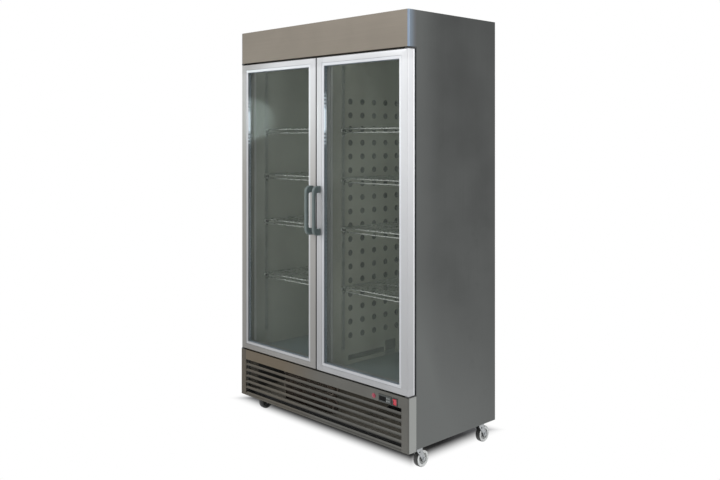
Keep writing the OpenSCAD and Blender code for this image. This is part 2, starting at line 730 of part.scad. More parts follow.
rocker_back = 4; // from the pin to the back of its heel
module switch_bezel() color(dark_plastic) place() translate([switch_at, 0, control_z]) {
    difference() {
        union() {
            translate([0, -bezel_t, 0]) soft_slab(switch_w, switch_h, bezel_t, bezel_r);
            window(switch_body_w, switch_body_h, -cut/2, switch_body_d);
        }
        window(rocker_w - 0.4, rocker_h, -bezel_t - cut, switch_body_d - 6);
    }
    rod_x([-rocker_w/2, rocker_y, 0], rocker_w, rocker_pin_r);
}
// The rocker stands at ON: its lower end is pressed in
module switch_rocker() color(lamp_red) place() translate([switch_at, rocker_y, control_z])
    rotate([rocker_tilt, 0, 0]) difference() {
        end = rocker_h/2 - 1;
        side = rocker_w/2 - rocker_side;
        translate([-side, 0, 0]) rotate([90, 0, 90]) linear_extrude(2*side)
            polygon([[-rocker_out, -end], [-rocker_dip, 0], [-rocker_out, end],
                     [-rocker_edge, end], [rocker_back, rocker_edge],
                     [rocker_back, -rocker_edge], [-rocker_edge, -end]]);
        rod_x([-rocker_w/2, 0, 0], rocker_w, rocker_pin_r + wheel_clear);
    }

// Hinge brackets with their pins
eye_r = 10;
arm_in = 15;
screw_r = 2.6;
screw_level = 0.66; // height of the screws as a share of the upright leg
washer_t = 1.2;
module hinge_bracket() {
    block([pivot_x - arm_in, pivot_y - eye_r, 0], [half_w - door_inset, front_t, bracket_t]);
    translate([pivot_x, pivot_y, 0]) cylinder(h = bracket_t, r = eye_r);
    difference() {
        block([half_w - door_inset - bracket_w, front_t - bracket_t, 0],
              [half_w - door_inset, front_t, bracket_h]);
        for (share = [0.25, 0.75])
            rod_y([half_w - door_inset - bracket_w*share, front_t - bracket_t - cut, bracket_h*screw_level],
                  bracket_t + 2*cut, screw_r);
    }
    translate([pivot_x, pivot_y, -hinge_pin_l]) cylinder(h = hinge_pin_l + bracket_t, r = hinge_pin_r);
}
bracket_high_z = door_top + (door_gap_top - bracket_t)/2;
bracket_low_z = cover_top + (door_gap_bottom - bracket_t - washer_t)/2;
module hinge_brackets() color(zinc) place() for (side = [-1, 1]) sided(side) {
    translate([0, 0, bracket_high_z]) hinge_bracket();
    translate([0, 0, bracket_low_z + bracket_t]) mirror([0, 0, 1]) hinge_bracket();
    translate([pivot_x, pivot_y, bracket_low_z + bracket_t]) cylinder(h = washer_t, r = hinge_pin_r + 3);
}

// Refrigeration set on the chassis
compressor_x = 250;
compressor_rear = 165; // from the compressor's middle to the liner's rear
compressor_y = rear_y - compressor_rear;
foot_h = 12;
foot_x = 95;
foot_y = 48;
foot_t = 3; // thickness of the compressor's base plate
foot_rim = 14; // how far the base plate runs past the mounts
foot_r = 10;
mount_r = 11;
mount_pin_r = 5;
mount_nut_r = 8;
mount_nut_h = 5;
shell_edge = 38;
seam_level = 0.52; // height of the shell's welded seam as a share of the shell
seam_w = 5;
seam_out = 4;
box_w = 64; // terminal box
box_d = 46;
box_h = 52;
box_in = 12;
box_back = 14; // how far the terminal box runs into the shell
box_level = 0.3; // height of the terminal box's foot as a share of the shell
stub_x = 30;
stub_l = 38;
stub_in = 14;
stub_level = 0.36; // height of the pipe stubs as a share of the shell
foot_sink = 1; // how far the shell runs into its base plate
shell_z = deck_z + foot_h + foot_t - foot_sink;
// Half outline of a pot with round edges, standing on its base
module pot(r, h, edge) {
    square([r - edge, h]);
    translate([0, edge]) square([r, h - 2*edge]);
    for (y = [edge, h - edge]) translate([r - edge, y]) circle(edge);
}
module compressor() color([0.10, 0.10, 0.11]) place() translate([compressor_x, compressor_y, shell_z]) {
    rotate_extrude() intersection() {
        square([compressor_d, compressor_h]);
        union() {
            pot(compressor_d/2, compressor_h, shell_edge);
            translate([0, compressor_h*seam_level]) square([compressor_d/2 + seam_out, seam_w]);
        }
    }
    translate([0, 0, foot_sink - foot_t]) linear_extrude(foot_t) difference() {
        rounded(2*(foot_x + foot_rim), 2*(foot_y + foot_rim), foot_r);
        for (x = [-1, 1], y = [-1, 1]) translate([x*foot_x, y*foot_y]) circle(mount_pin_r + glass_clear);
    }
    translate([0, box_in - compressor_d/2, compressor_h*box_level])
        block([-box_w/2, box_back - box_d, 0], [box_w/2, box_back, box_h]);
    for (x = [-stub_x, stub_x])
        rod_y([x, compressor_d/2 - stub_in, compressor_h*stub_level], stub_l, tube_d/2);
}
module compressor_mounts() color([0.08, 0.08, 0.08]) place() for (x = [-1, 1], y = [-1, 1])
    translate([compressor_x + x*foot_x, compressor_y + y*foot_y, deck_z]) {
        cylinder(h = foot_h, r = mount_r);
        translate([0, 0, foot_h]) cylinder(h = foot_t, r = mount_pin_r);
        translate([0, 0, foot_h + foot_t]) cylinder(h = mount_nut_h, r = mount_nut_r, $fn = 6);
    }
condenser_x = -170;
condenser_in = 34; // from the cabinet's front to the condenser
condenser_y = front_t + condenser_in + condenser_d/2;
condenser_top = 8; // gap over the condenser
condenser_h = under_z - deck_z - condenser_top;
condenser_fin_pitch = 17;
condenser_rows = 2;
condenser_layers = 5;
shroud_y = condenser_y + condenser_d/2 + plate_over;
shroud_t = 1.2;
shroud_l = 30;
shroud_gap = 4; // gap round the blades' tips
fan_z = deck_z + condenser_h/2;
fan_motor_r = 30;
motor_l = 46;
motor_y = 42;
motor_arm_w = 10;
motor_arm_y = 48;
shaft_y = 12;
rotor_l = 24;
rotor_y = 39;
rotor_chord = 62;
module condenser_coil() color(copper) place() translate([condenser_x, condenser_y, deck_z]) {
    finned_coil(condenser_w, condenser_d, condenser_h, condenser_rows, condenser_layers,
                condenser_fin_pitch);
    translate([-condenser_w/2, 0, 0.5*condenser_h/condenser_layers])
        rotate(90) rotate_extrude(angle = 180) translate([coil_tube_y, 0]) circle(tube_d/2);
}
module condenser_shroud() color(zinc) place() translate([condenser_x, shroud_y, 0]) {
    difference() {
        block([-condenser_w/2, 0, deck_z], [condenser_w/2, shroud_t, deck_z + condenser_h]);
        rod_y([0, -cut, fan_z], shroud_t + 2*cut, shroud_r);
    }
    difference() {
        rod_y([0, 0, fan_z], shroud_l, shroud_r + shroud_t);
        rod_y([0, -cut, fan_z], shroud_l + 2*cut, shroud_r);
    }
    for (arm = [0, 1]) translate([0, motor_arm_y, fan_z]) rotate([0, 45 + 90*arm, 0])
        block([-shroud_r - 1, 0, -motor_arm_w/2], [shroud_r + 1, deck_t, motor_arm_w/2]);
    for (arm = [0:3]) translate([0, 0, fan_z]) rotate([0, 45 + 90*arm, 0])
        block([shroud_r, 1, -motor_arm_w/2], [shroud_r + shroud_t, motor_arm_y + deck_t, motor_arm_w/2]);
    rod_y([0, motor_y, fan_z], motor_l, fan_motor_r);
    rod_y([0, shaft_y, fan_z], motor_y - shaft_y + 1, shaft_r);
}
shroud_r = fan_d/2 + shroud_gap;
module condenser_fan_rotor() color("gainsboro") place() translate([condenser_x, shroud_y + rotor_y, fan_z])
    rotate([90, 0, 0]) fan_rotor(fan_d/2, rotor_l, rotor_l, rotor_chord, shaft_r);
// Pipes drawn as they run: what follows goes on along Z from the end of the piece before it
module run(length, r = pipe_r) {
    cylinder(h = length, r = r);
    translate([0, 0, length]) children();
}
module elbow(turn) rotate(turn) {
    translate([bend_r, 0, 0]) rotate([90, 0, 180])
        rotate_extrude(angle = 90) translate([bend_r, 0]) circle(pipe_r);
    translate([bend_r, 0, bend_r]) rotate([0, 90, 0]) children();
}
pipe_r = 4;
bend_r = 20;
stub_end_y = compressor_y + compressor_d/2 - stub_in + stub_l;
stub_z = shell_z + compressor_h*stub_level;
coil_end_x = condenser_x + condenser_w/2;
coil_tube_y = condenser_d/condenser_rows/2; // from the coil's middle to a row of its tubes
coil_tube_z = deck_z + condenser_h*(1 - 0.5/condenser_layers);
pipe_step = 40; // between the pipes that run beside the condenser
hot_x = coil_end_x + pipe_step;
liquid_x = hot_x + pipe_step;
drier_r = 12;
drier_l = 80;
drier_in = 60; // from the liquid line's first bend to the drier
capillary_l = 140; // from the drier to the bend up into the cabinet
module refrigerant_pipes() color(copper) place() {
    translate([compressor_x - stub_x, stub_end_y, stub_z]) rotate([-90, 0, 0])
        elbow(180) run(compressor_x - stub_x - hot_x - 2*bend_r)
        elbow(90) run(coil_tube_z - stub_z - 2*bend_r)
        elbow(-90) run(stub_end_y - condenser_y - coil_tube_y - bend_r)
        elbow(-90) run(hot_x - coil_end_x - bend_r);
    translate([coil_end_x, condenser_y - coil_tube_y, coil_tube_z]) rotate([0, 90, 0])
        run(liquid_x - coil_end_x - bend_r)
        elbow(90) run(drier_in) run(drier_l, drier_r) run(capillary_l)
        elbow(90) run(under_z - seam - coil_tube_z - bend_r);
    translate([compressor_x + stub_x, stub_end_y, stub_z]) rotate([-90, 0, 0])
        elbow(-90) run(under_z - seam - stub_z - bend_r);
}
tray_w = 260;
tray_d = 170;
tray_h = 40;
tray_t = 2;
tray_r = 14;
tray_in = 200; // from the tray's middle to the cabinet's left side
tray_x = tray_in - half_w;
tray_rear = 60; // from the tray to the liner's rear
tray_y = rear_y - tray_d/2 - tray_rear;
module drip_tray() color("dimgray") place() translate([tray_x, tray_y, deck_z]) difference() {
    linear_extrude(tray_h) rounded(tray_w, tray_d, tray_r);
    translate([0, 0, tray_t]) linear_extrude(tray_h)
        rounded(tray_w - 2*tray_t, tray_d - 2*tray_t, tray_r - tray_t);
}
deck_edge = 20; // height of the deck's upturned edges
post_d = 60;
vent_l = 120;
vent_w = 10;
vent_pitch = 24;
vent_y = 200;
vent_x = half_w*0.28;
module chassis() color(zinc) place() difference() {
    union() {
        block([seam - skin_x, front_t + sheet_t + seam, panel_z], [skin_x - seam, skin_y, deck_z]);
        block([seam - skin_x, front_t + sheet_t + seam, panel_z],
              [skin_x - seam, front_t + sheet_t + seam + deck_t, deck_z + deck_edge]);
        block([flange_w + seam - skin_x, front_t + sheet_t + seam, cover_z],
              [skin_x - flange_w - seam, front_t + sheet_t + seam + deck_t, panel_z]);
        block([seam - skin_x, skin_y - deck_t, panel_z], [skin_x - seam, skin_y, deck_z + deck_edge]);
        for (side = [-1, 1], y = [front_t + sheet_t + seam, skin_y - post_d])
            sided(side) block([skin_x - seam - deck_t, y, panel_z], [skin_x - seam, y + post_d, under_z]);
    }
    for (side = [-1, 1], slot = [0:5]) translate([side*vent_x, vent_y + slot*vent_pitch, 0])
        block([-vent_l/2, 0, panel_z - cut], [vent_l/2, vent_w, deck_z + cut]);
}
grille_slots = 22;
grille_rows = 3;
grille_margin = 80;
grille_slot_r = 4;
grille_slot_h = 26;
grille_row_h = 42;
grille_low_z = deck_z + 56;
grille_in = 14; // from the grille's sheet to the cabinet's back
grille_y = skin_y - grille_in;
grille_x = skin_x - seam - deck_t;
grille_top = under_z - 2*seam;
grille_foot_h = 4;
grille_pitch = 2*(skin_x - grille_margin)/grille_slots;
module rear_grille() color(zinc) place() difference() {
    union() {
        block([-grille_x, grille_y, deck_z + deck_edge + grille_foot_h],
              [grille_x, grille_y + sheet_t, grille_top]);
        block([-grille_x, grille_y, grille_top - sheet_t], [grille_x, skin_y - 2*seam, grille_top]);
        block([-grille_x, grille_y, deck_z + deck_edge],
              [grille_x, skin_y, deck_z + deck_edge + grille_foot_h]);
    }
    for (slot = [0:grille_slots - 1], row = [0:grille_rows - 1])
        translate([grille_margin - skin_x + (slot + 0.5)*grille_pitch, grille_y,
                   grille_low_z + row*grille_row_h]) {
            block([-grille_slot_r, -cut, -grille_slot_h/2], [grille_slot_r, sheet_t + cut, grille_slot_h/2]);
            for (z = [-1, 1]) rod_y([0, -cut, z*grille_slot_h/2], sheet_t + 2*cut, grille_slot_r);
        }
    rod_y([gland_x, grille_y - cut, gland_z], sheet_t + 2*cut, gland_r + gland_wall + glass_clear);
}
gland_in = 60; // from the gland to the cabinet's right side
gland_x = half_w - gland_in;
gland_z = deck_z + deck_edge + 20;
gland_wall = 3.2;
gland_nut_r = gland_r + 6.5;
gland_nut_h = 8;
gland_body_l = 5;
gland_dome_h = 7;
module cable_gland() color(dark_plastic) place() translate([gland_x, grille_y, gland_z]) rotate([-90, 0, 0])
    difference() {
        union() {
            translate([0, 0, -gland_nut_h]) {
                cylinder(h = gland_nut_h, r = gland_nut_r, $fn = 6);
                cylinder(h = gland_nut_h + gland_body_l, r = gland_r + gland_wall);
            }
            translate([0, 0, sheet_t]) cylinder(h = gland_body_l - sheet_t, r = gland_nut_r, $fn = 6);
            translate([0, 0, gland_body_l])
                cylinder(h = gland_dome_h, r1 = gland_nut_r - 1.5, r2 = gland_r + gland_wall - 0.7);
        }
        translate([0, 0, -gland_nut_h - cut])
            cylinder(h = gland_nut_h + gland_body_l + gland_dome_h + 2*cut, r = gland_r);
    }

// Castors: plates with their races on the cabinet, forks that swivel, wheels that roll
castor_spots = [[-castor_x, castor_front_y], [castor_x, castor_front_y],
                [-castor_x, castor_rear_y], [castor_x, castor_rear_y]];
king_r = 5;
king_head_r = 8;
king_head_h = 3;
plate_w = 64;
plate_d = 60;
plate_r = 6;
plate_hole_r = 3.3;
plate_hole_x = 23;
plate_hole_y = 22;
race_edge = 3;
king_gap = 0.5; // gap between the fork and the head of its king pin
module castor_plates() color(zinc) place() for (spot = castor_spots) translate([spot.x, spot.y, panel_z]) {
    translate([0, 0, -plate_t]) linear_extrude(plate_t) difference() {
        rounded(plate_w, plate_d, plate_r);
        for (x = [-1, 1], y = [-1, 1]) translate([x*plate_hole_x, y*plate_hole_y]) circle(plate_hole_r);
    }
    translate([0, 0, -plate_t - race_h]) rotate_extrude() intersection() {
        square([race_r, race_h]);
        union() {
            square([race_r - race_edge, race_h]);
            translate([race_r - race_edge, race_edge]) circle(race_edge);
            translate([0, race_edge]) square([race_r, race_h]);
        }
    }
    translate([0, 0, fork_top - panel_z - fork_t - king_gap - king_head_h]) {
        cylinder(h = king_head_h + king_gap + fork_t + 2*fork_gap, r = king_r);
        cylinder(h = king_head_h, r = king_head_r);
    }
}
fork_side = wheel_w/2 + 1.5;
fork_front = 15;
fork_rear = 20;
fork_skirt = 12;
fork_eye_r = 10;
fork_hole_r = 4;
fork_hole_at = [2, (fork_top + wheel_r)/2 + 8];
axle_nut_h = 4;
module fork_leg() rotate([90, 0, 90]) linear_extrude(fork_t) difference() {
    union() {
        polygon([[-fork_front, fork_top], [fork_rear, fork_top], [fork_rear, fork_top - fork_skirt],
                 [trail + fork_eye_r - 1, wheel_r + 2], [trail - fork_eye_r + 1, wheel_r - 2],
                 [-fork_front, fork_top - fork_skirt]]);
        translate([trail, wheel_r]) circle(fork_eye_r);
    }
    translate(fork_hole_at) circle(fork_hole_r);
}
module castor_fork(number) color(zinc) place()
    translate([castor_spots[number].x, castor_spots[number].y, 0]) {
    difference() {
        union() {
            translate([0, 0, fork_top - fork_t]) linear_extrude(fork_t) {
                circle(race_r);
                translate([-fork_side - fork_t, -fork_front])
                    square([2*(fork_side + fork_t), fork_front + fork_rear]);
            }
            for (side = [-1, 1]) translate([side > 0 ? fork_side : -fork_side - fork_t, 0, 0]) fork_leg();
        }
        translate([0, 0, fork_top - fork_t - cut]) cylinder(h = fork_t + 2*cut, r = king_r + wheel_clear);
    }
    rod_x([-fork_side - fork_t - 1, trail, wheel_r], 2*(fork_side + fork_t + 1), axle_r);
    for (side = [-1, 1]) translate([side*(fork_side + fork_t + axle_nut_h/2), trail, wheel_r])
        rotate([0, 90, 0]) cylinder(h = axle_nut_h, r = axle_r + 2.5, $fn = 6, center = true);
}
hub_t = 7;
hub_over = 1; // how far the hub stands out of the tread on each side
web_in = 6; // how far the web lies inside the tread on each side
tread_t = 15;
tread_r = 4;
module castor_wheel(number) color([0.82, 0.82, 0.80]) place()
    translate([castor_spots[number].x, castor_spots[number].y + trail, wheel_r]) rotate([0, 90, 0])
        rotate_extrude() {
            bore_r = axle_r + wheel_clear;
            translate([bore_r, -wheel_w/2 - hub_over]) square([hub_t, wheel_w + 2*hub_over]);
            translate([bore_r, web_in - wheel_w/2]) square([wheel_r - tread_t + 1, wheel_w - 2*web_in]);
            translate([wheel_r - tread_t, -wheel_w/2]) square([tread_t - tread_r, wheel_w]);
            translate([wheel_r - tread_t, tread_r - wheel_w/2]) square([tread_t, wheel_w - 2*tread_r]);
            for (y = [-1, 1]) translate([wheel_r - tread_r, y*(wheel_w/2 - tread_r)]) circle(tread_r);
        }

// Doors: each is built as the right door about its middle
module door(side) place() sided(side) translate([door_x, 0, door_mid_z]) children();
module door_frame(side) color(frame_silver) door(side) {
    difference() {
        soft_slab(door_w, door_h, door_t, door_edge_r);
        window(sight_w + 2*bead_w, sight_h + 2*bead_w, -cut, glass_y + cut + 0.1);
        window(sight_w, sight_h, 0, door_t + cut);
        window(pane_w + 2*glass_clear, pane_h + 2*glass_clear, glass_y, unit_t + glass_clear);
        for (z = [-1, 1]) translate([pivot_x - door_x, pivot_y, z*door_h/2])
            cylinder(h = 2*hinge_pin_l + 4, r = hinge_pin_r + hinge_clear, center = true);
    }
    mitred_ring(sight_w + 2*bead_w, sight_h + 2*bead_w,
                [[bead_step, 0], [bead_slope, bead_w], [glass_y, bead_w], [glass_y, 0]], bead_w);
}
module door_glass(side) color([0.55, 0.62, 0.58, 0.35]) door(side) {
    window(pane_w, pane_h, glass_y + 0.1, glass_t);
    window(pane_w, pane_h, glass_y + 0.1 + glass_t + glass_gap, glass_t);
}
module door_spacer(side) color([0.78, 0.79, 0.80]) door(side) difference() {
    window(sight_w - 2*spacer_show + 2*spacer_w, sight_h - 2*spacer_show + 2*spacer_w,
           glass_y + 0.1 + glass_t, glass_gap);
    window(sight_w - 2*spacer_show, sight_h - 2*spacer_show, glass_y + glass_t - cut, glass_gap + 2*cut);
}
module door_gasket(side) color([0.25, 0.25, 0.26]) door(side) translate([0, door_t, 0]) {
    deep = front_t - door_t - seal_gap;
    neck = deep*0.4;
    bulb = deep*0.6;
    neck_in = 4;
    mitred_ring(door_w - 2*gasket_inset, door_h - 2*gasket_inset,
                [[0, neck_in], [0, gasket_w - neck_in], [neck, gasket_w - neck_in], [bulb, gasket_w],
                 [deep, gasket_w], [deep, 0], [bulb, 0], [neck, neck_in]], gasket_w);
}
module door_handle(side) color(handle_teal) place() sided(side)
    translate([door_gap/2 + handle_in, 0, handle_z]) intersection() {
        rotate([90, 0, 90]) translate([0, 0, -grip_w/2]) linear_extrude(grip_w) difference() {
            intersection() {
                rounded(2*handle_out, handle_h, handle_r);
                translate([-handle_out, -handle_h/2]) square([handle_out, handle_h]);
            }
            intersection() {
                rounded(2*(handle_out - grip_t), handle_h - 2*handle_foot_h, finger_r);
                translate([-handle_out, -handle_h/2]) square([handle_out + cut, handle_h]);
            }
        }
        translate([0, -handle_out, -handle_h/2]) linear_extrude(handle_h) fronted(grip_w, handle_out, grip_r);
    }

side_panel(-1);  // side_panel_left
side_panel(1);  // side_panel_right
top_panel();
bottom_panel();
back_panel();
insulation();
liner_walls();
liner_ceiling();
liner_floor();
front_frame();
air_duct();
evaporator_coil();
evaporator_fan_housing();
evaporator_fan_rotor();
shelf_standards();
shelf_clips();
shelves(-1);  // shelves_left
shelves(1);  // shelves_right
interior_lamps();
fascia();
base_cover();
thermostat_bezel();
thermostat_display();
thermostat_button(0, 0);  // thermostat_button_1
thermostat_button(1, 0);  // thermostat_button_2
thermostat_button(0, 1);  // thermostat_button_3
thermostat_button(1, 1);  // thermostat_button_4
pilot_lamp();
switch_bezel();
switch_rocker();
hinge_brackets();
compressor();
compressor_mounts();
condenser_coil();
condenser_shroud();
condenser_fan_rotor();
refrigerant_pipes();
drip_tray();
chassis();
rear_grille();
cable_gland();
castor_plates();
castor_fork(0);  // castor_fork_front_left
castor_fork(1);  // castor_fork_front_right
castor_fork(2);  // castor_fork_rear_left
castor_fork(3);  // castor_fork_rear_right
castor_wheel(0);  // castor_wheel_front_left
castor_wheel(1);  // castor_wheel_front_right
castor_wheel(2);  // castor_wheel_rear_left
castor_wheel(3);  // castor_wheel_rear_right
door_frame(-1);  // door_frame_left
door_glass(-1);  // door_glass_left
door_spacer(-1);  // door_spacer_left
door_gasket(-1);  // door_gasket_left
door_handle(-1);  // door_handle_left
door_frame(1);  // door_frame_right
door_glass(1);  // door_glass_right
door_spacer(1);  // door_spacer_right
door_gasket(1);  // door_gasket_right
door_handle(1);  // door_handle_right
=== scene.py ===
"""Looks of an upright display refrigerator with two glass doors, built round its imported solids.

Everything is in metres, in the frame of the solids: +Z is up, the doors face -Y and +X is to the
right seen from the front. Each sub-assembly is a class that builds its meshes and dresses the solids
that belong to it. Each finish is a frozen dataclass that makes one procedural material.
"""

import json
import logging
import math
from dataclasses import dataclass
from enum import Enum, auto
from typing import Any, ClassVar, Iterable, Mapping, Sequence, Union

import bmesh
import bpy
from mathutils import Matrix, Vector

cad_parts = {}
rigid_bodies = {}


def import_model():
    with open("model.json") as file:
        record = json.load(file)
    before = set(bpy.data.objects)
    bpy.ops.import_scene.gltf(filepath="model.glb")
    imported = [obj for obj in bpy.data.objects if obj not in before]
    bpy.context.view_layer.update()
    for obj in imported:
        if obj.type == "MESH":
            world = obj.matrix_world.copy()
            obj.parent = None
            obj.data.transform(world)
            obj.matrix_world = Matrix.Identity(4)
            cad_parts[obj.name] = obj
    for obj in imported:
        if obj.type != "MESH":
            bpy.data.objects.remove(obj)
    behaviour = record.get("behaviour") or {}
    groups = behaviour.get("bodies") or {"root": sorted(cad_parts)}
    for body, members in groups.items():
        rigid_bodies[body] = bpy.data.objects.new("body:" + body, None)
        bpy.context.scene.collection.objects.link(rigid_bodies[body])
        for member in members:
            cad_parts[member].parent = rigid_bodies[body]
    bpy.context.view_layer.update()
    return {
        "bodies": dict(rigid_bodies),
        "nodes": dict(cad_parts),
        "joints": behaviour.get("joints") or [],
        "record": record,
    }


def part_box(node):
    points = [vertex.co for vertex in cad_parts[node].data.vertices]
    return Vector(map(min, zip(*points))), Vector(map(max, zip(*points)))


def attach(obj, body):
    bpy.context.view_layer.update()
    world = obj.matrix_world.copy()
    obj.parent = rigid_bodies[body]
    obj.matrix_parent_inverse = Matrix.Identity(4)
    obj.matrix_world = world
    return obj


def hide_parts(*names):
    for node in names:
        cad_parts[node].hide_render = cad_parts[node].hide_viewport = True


LOG = logging.getLogger("display_refrigerator")
MM = 0.001
SHARP_FROM = math.radians(32)
BEVEL_FROM = math.radians(35)
Colour = tuple[float, float, float]
Point = tuple[float, float, float]
Span = tuple[float, float]
Zone = tuple[Span, float]
Outline = Sequence[tuple[float, float]]
Sockets = Mapping[Union[str, int], Any]


class Named(Enum):
    """Options whose names are parts of the names of nodes and bodies."""

    @property
    def word(self) -> str:
        """The option as nodes and bodies spell it."""
        return self.name.lower()


class Side(Named):
    """The two sides of the cabinet, seen from the front."""

    LEFT = -1
    RIGHT = 1


class Corner(Named):
    """The corners of the cabinet, with a castor each."""

    FRONT_LEFT = auto()
    FRONT_RIGHT = auto()
    REAR_LEFT = auto()
    REAR_RIGHT = auto()


class Along(Enum):
    """The axis along which a round piece or a grain runs."""

    X = (1.0, 0.0, 0.0)
    Y = (0.0, 1.0, 0.0)
    Z = (0.0, 0.0, 1.0)
    FRONT = (0.0, -1.0, 0.0)
    LEFT = (-1.0, 0.0, 0.0)
    DOWN = (0.0, 0.0, -1.0)

    def turn(self) -> Matrix:
        """Returns the turn that takes +Z to this axis."""
        return Vector((0, 0, 1)).rotation_difference(Vector(self.value)).to_matrix().to_4x4()


def linear(*levels: int) -> Colour:
    """Turns red, green and blue on a screen, from 0 to 255, into the colour that a shader takes."""
    shares = [level / 255 for level in levels]
    return tuple(share / 12.92 if share <= 0.04045 else ((share + 0.055) / 1.055) ** 2.4 for share in shares)


def mm(*points: tuple[float, float]) -> Outline:
    """Turns the points of an outline from millimetres into metres."""
    return tuple((first * MM, second * MM) for first, second in points)


def spread(low: float, high: float, count: int) -> list[float]:
    """Returns places that are spread evenly from one value to another."""
    return [low + (high - low) * step / (count - 1) for step in range(count)]


def arc(middle: tuple[float, float], radius: float, start: float, end: float, steps: int = 6) -> Outline:
    """Returns the points of an arc between two angles in degrees, in a number of chords."""
    turns = (math.radians(turn) for turn in spread(start, end, steps + 1))
    return [(middle[0] + radius * math.cos(turn), middle[1] + radius * math.sin(turn)) for turn in turns]


@dataclass(frozen=True)
class Wire:
    """An output of a shader node that takes part in sums written as Python."""

    kit: "NodeKit"
    socket: bpy.types.NodeSocket

    def __add__(self, other: "Operand") -> "Wire":
        """Adds a wire or a number."""
        return self.kit.sum("ADD", self, other)

    def __radd__(self, other: "Operand") -> "Wire":
        """Adds a wire to a number."""
        return self.kit.sum("ADD", other, self)

    def __sub__(self, other: "Operand") -> "Wire":
        """Takes a wire or a number away."""
        return self.kit.sum("SUBTRACT", self, other)

    def __rsub__(self, other: "Operand") -> "Wire":
        """Takes the wire away from a number."""
        return self.kit.sum("SUBTRACT", other, self)

    def __mul__(self, other: "Operand") -> "Wire":
        """Multiplies by a wire or a number."""
        return self.kit.sum("MULTIPLY", self, other)

    def __rmul__(self, other: "Operand") -> "Wire":
        """Multiplies a number by the wire."""
        return self.kit.sum("MULTIPLY", other, self)

    def __gt__(self, other: "Operand") -> "Wire":
        """Gives 1 where the wire is greater, and 0 elsewhere."""
        return self.kit.sum("GREATER_THAN", self, other)

    def __lt__(self, other: "Operand") -> "Wire":
        """Gives 1 where the wire is less, and 0 elsewhere."""
        return self.kit.sum("LESS_THAN", self, other)

    def within(self, low: float, high: float) -> "Wire":
        """Gives 1 between two values, and 0 elsewhere."""
        return (self > low) * (self < high)

    def distance(self, other: "Operand") -> "Wire":
        """Returns how far the wire is from a value."""
        return self.kit.sum("ABSOLUTE", self - other)

    def repeat(self, pitch: float) -> "Wire":
        """Returns the place within a repeat, up to half its pitch and back."""
        return self.kit.sum("PINGPONG", self, pitch / 2)

    def ramp(self, low: float, high: float) -> "Wire":
        """Returns 0 at low, 1 at high and a smooth step between."""
        node = self.kit.node("ShaderNodeMapRange", {"interpolation_type": "SMOOTHSTEP"},
                             {"Value": self, "From Min": low, "From Max": high})
        return self.kit.wire(node, "Result")

    def zone(self, zone: Zone) -> "Wire":
        """Returns a ramp over a zone's span, up to the zone's share."""
        return self.ramp(*zone[0]) * zone[1]


Operand = Union[Wire, float]
Tone = Union[Wire, Colour]


class NodeKit:
    """Builds the node tree of a material or of the world."""

    def __init__(self, owner: bpy.types.ID, ending: str) -> None:
        """Starts an empty tree.

        Args:
            owner: The material or world that the tree belongs to.
            ending: The type name of its output node.
        """
        owner.use_nodes = True
        self.tree = owner.node_tree
        self.tree.nodes.clear()
        self.output = self.node(ending)

    def node(self, kind: str, settings: Mapping[str, Any] | None = None,
             sockets: Sockets | None = None) -> bpy.types.Node:
        """Adds a node of any type.

        Args:
            kind: The node's type name.
            settings: Its properties, which are set first.
            sockets: Wires or values for its inputs, by name or number.

        Returns:
            The new node.
        """
        made = self.tree.nodes.new(kind)
        for key, setting in (settings or {}).items():
            setattr(made, key, setting)
        for key, given in (sockets or {}).items():
            if isinstance(given, Wire):
                self.tree.links.new(given.socket, made.inputs[key])
            else:
                made.inputs[key].default_value = given
        return made

    def wire(self, node: bpy.types.Node, output: Union[str, int] = 0) -> Wire:
        """Returns one output of a node as a wire."""
        return Wire(self, node.outputs[output])

    def sum(self, operation: str, *operands: Operand) -> Wire:
        """Adds a Math node with its inputs in order, and returns its result."""
        return self.wire(self.node("ShaderNodeMath", {"operation": operation}, dict(enumerate(operands))))

    def seen(self) -> Wire:
        """Tells what is seen from the light that falls on the object.

        Returns:
            1 for what the camera sees, also in gloss and through glass, and 0 elsewhere.
        """
        path = self.node("ShaderNodeLightPath")
        straight, glossy, through = (
            self.wire(path, f"Is {kind} Ray") for kind in ("Camera", "Glossy", "Transmission"))
        return self.sum("MAXIMUM", self.sum("MAXIMUM", straight, glossy), through)

    def end(self, shader: bpy.types.Node) -> None:
        """Links the tree's last shader to its output."""
        self.tree.links.new(shader.outputs[0], self.output.inputs["Surface"])


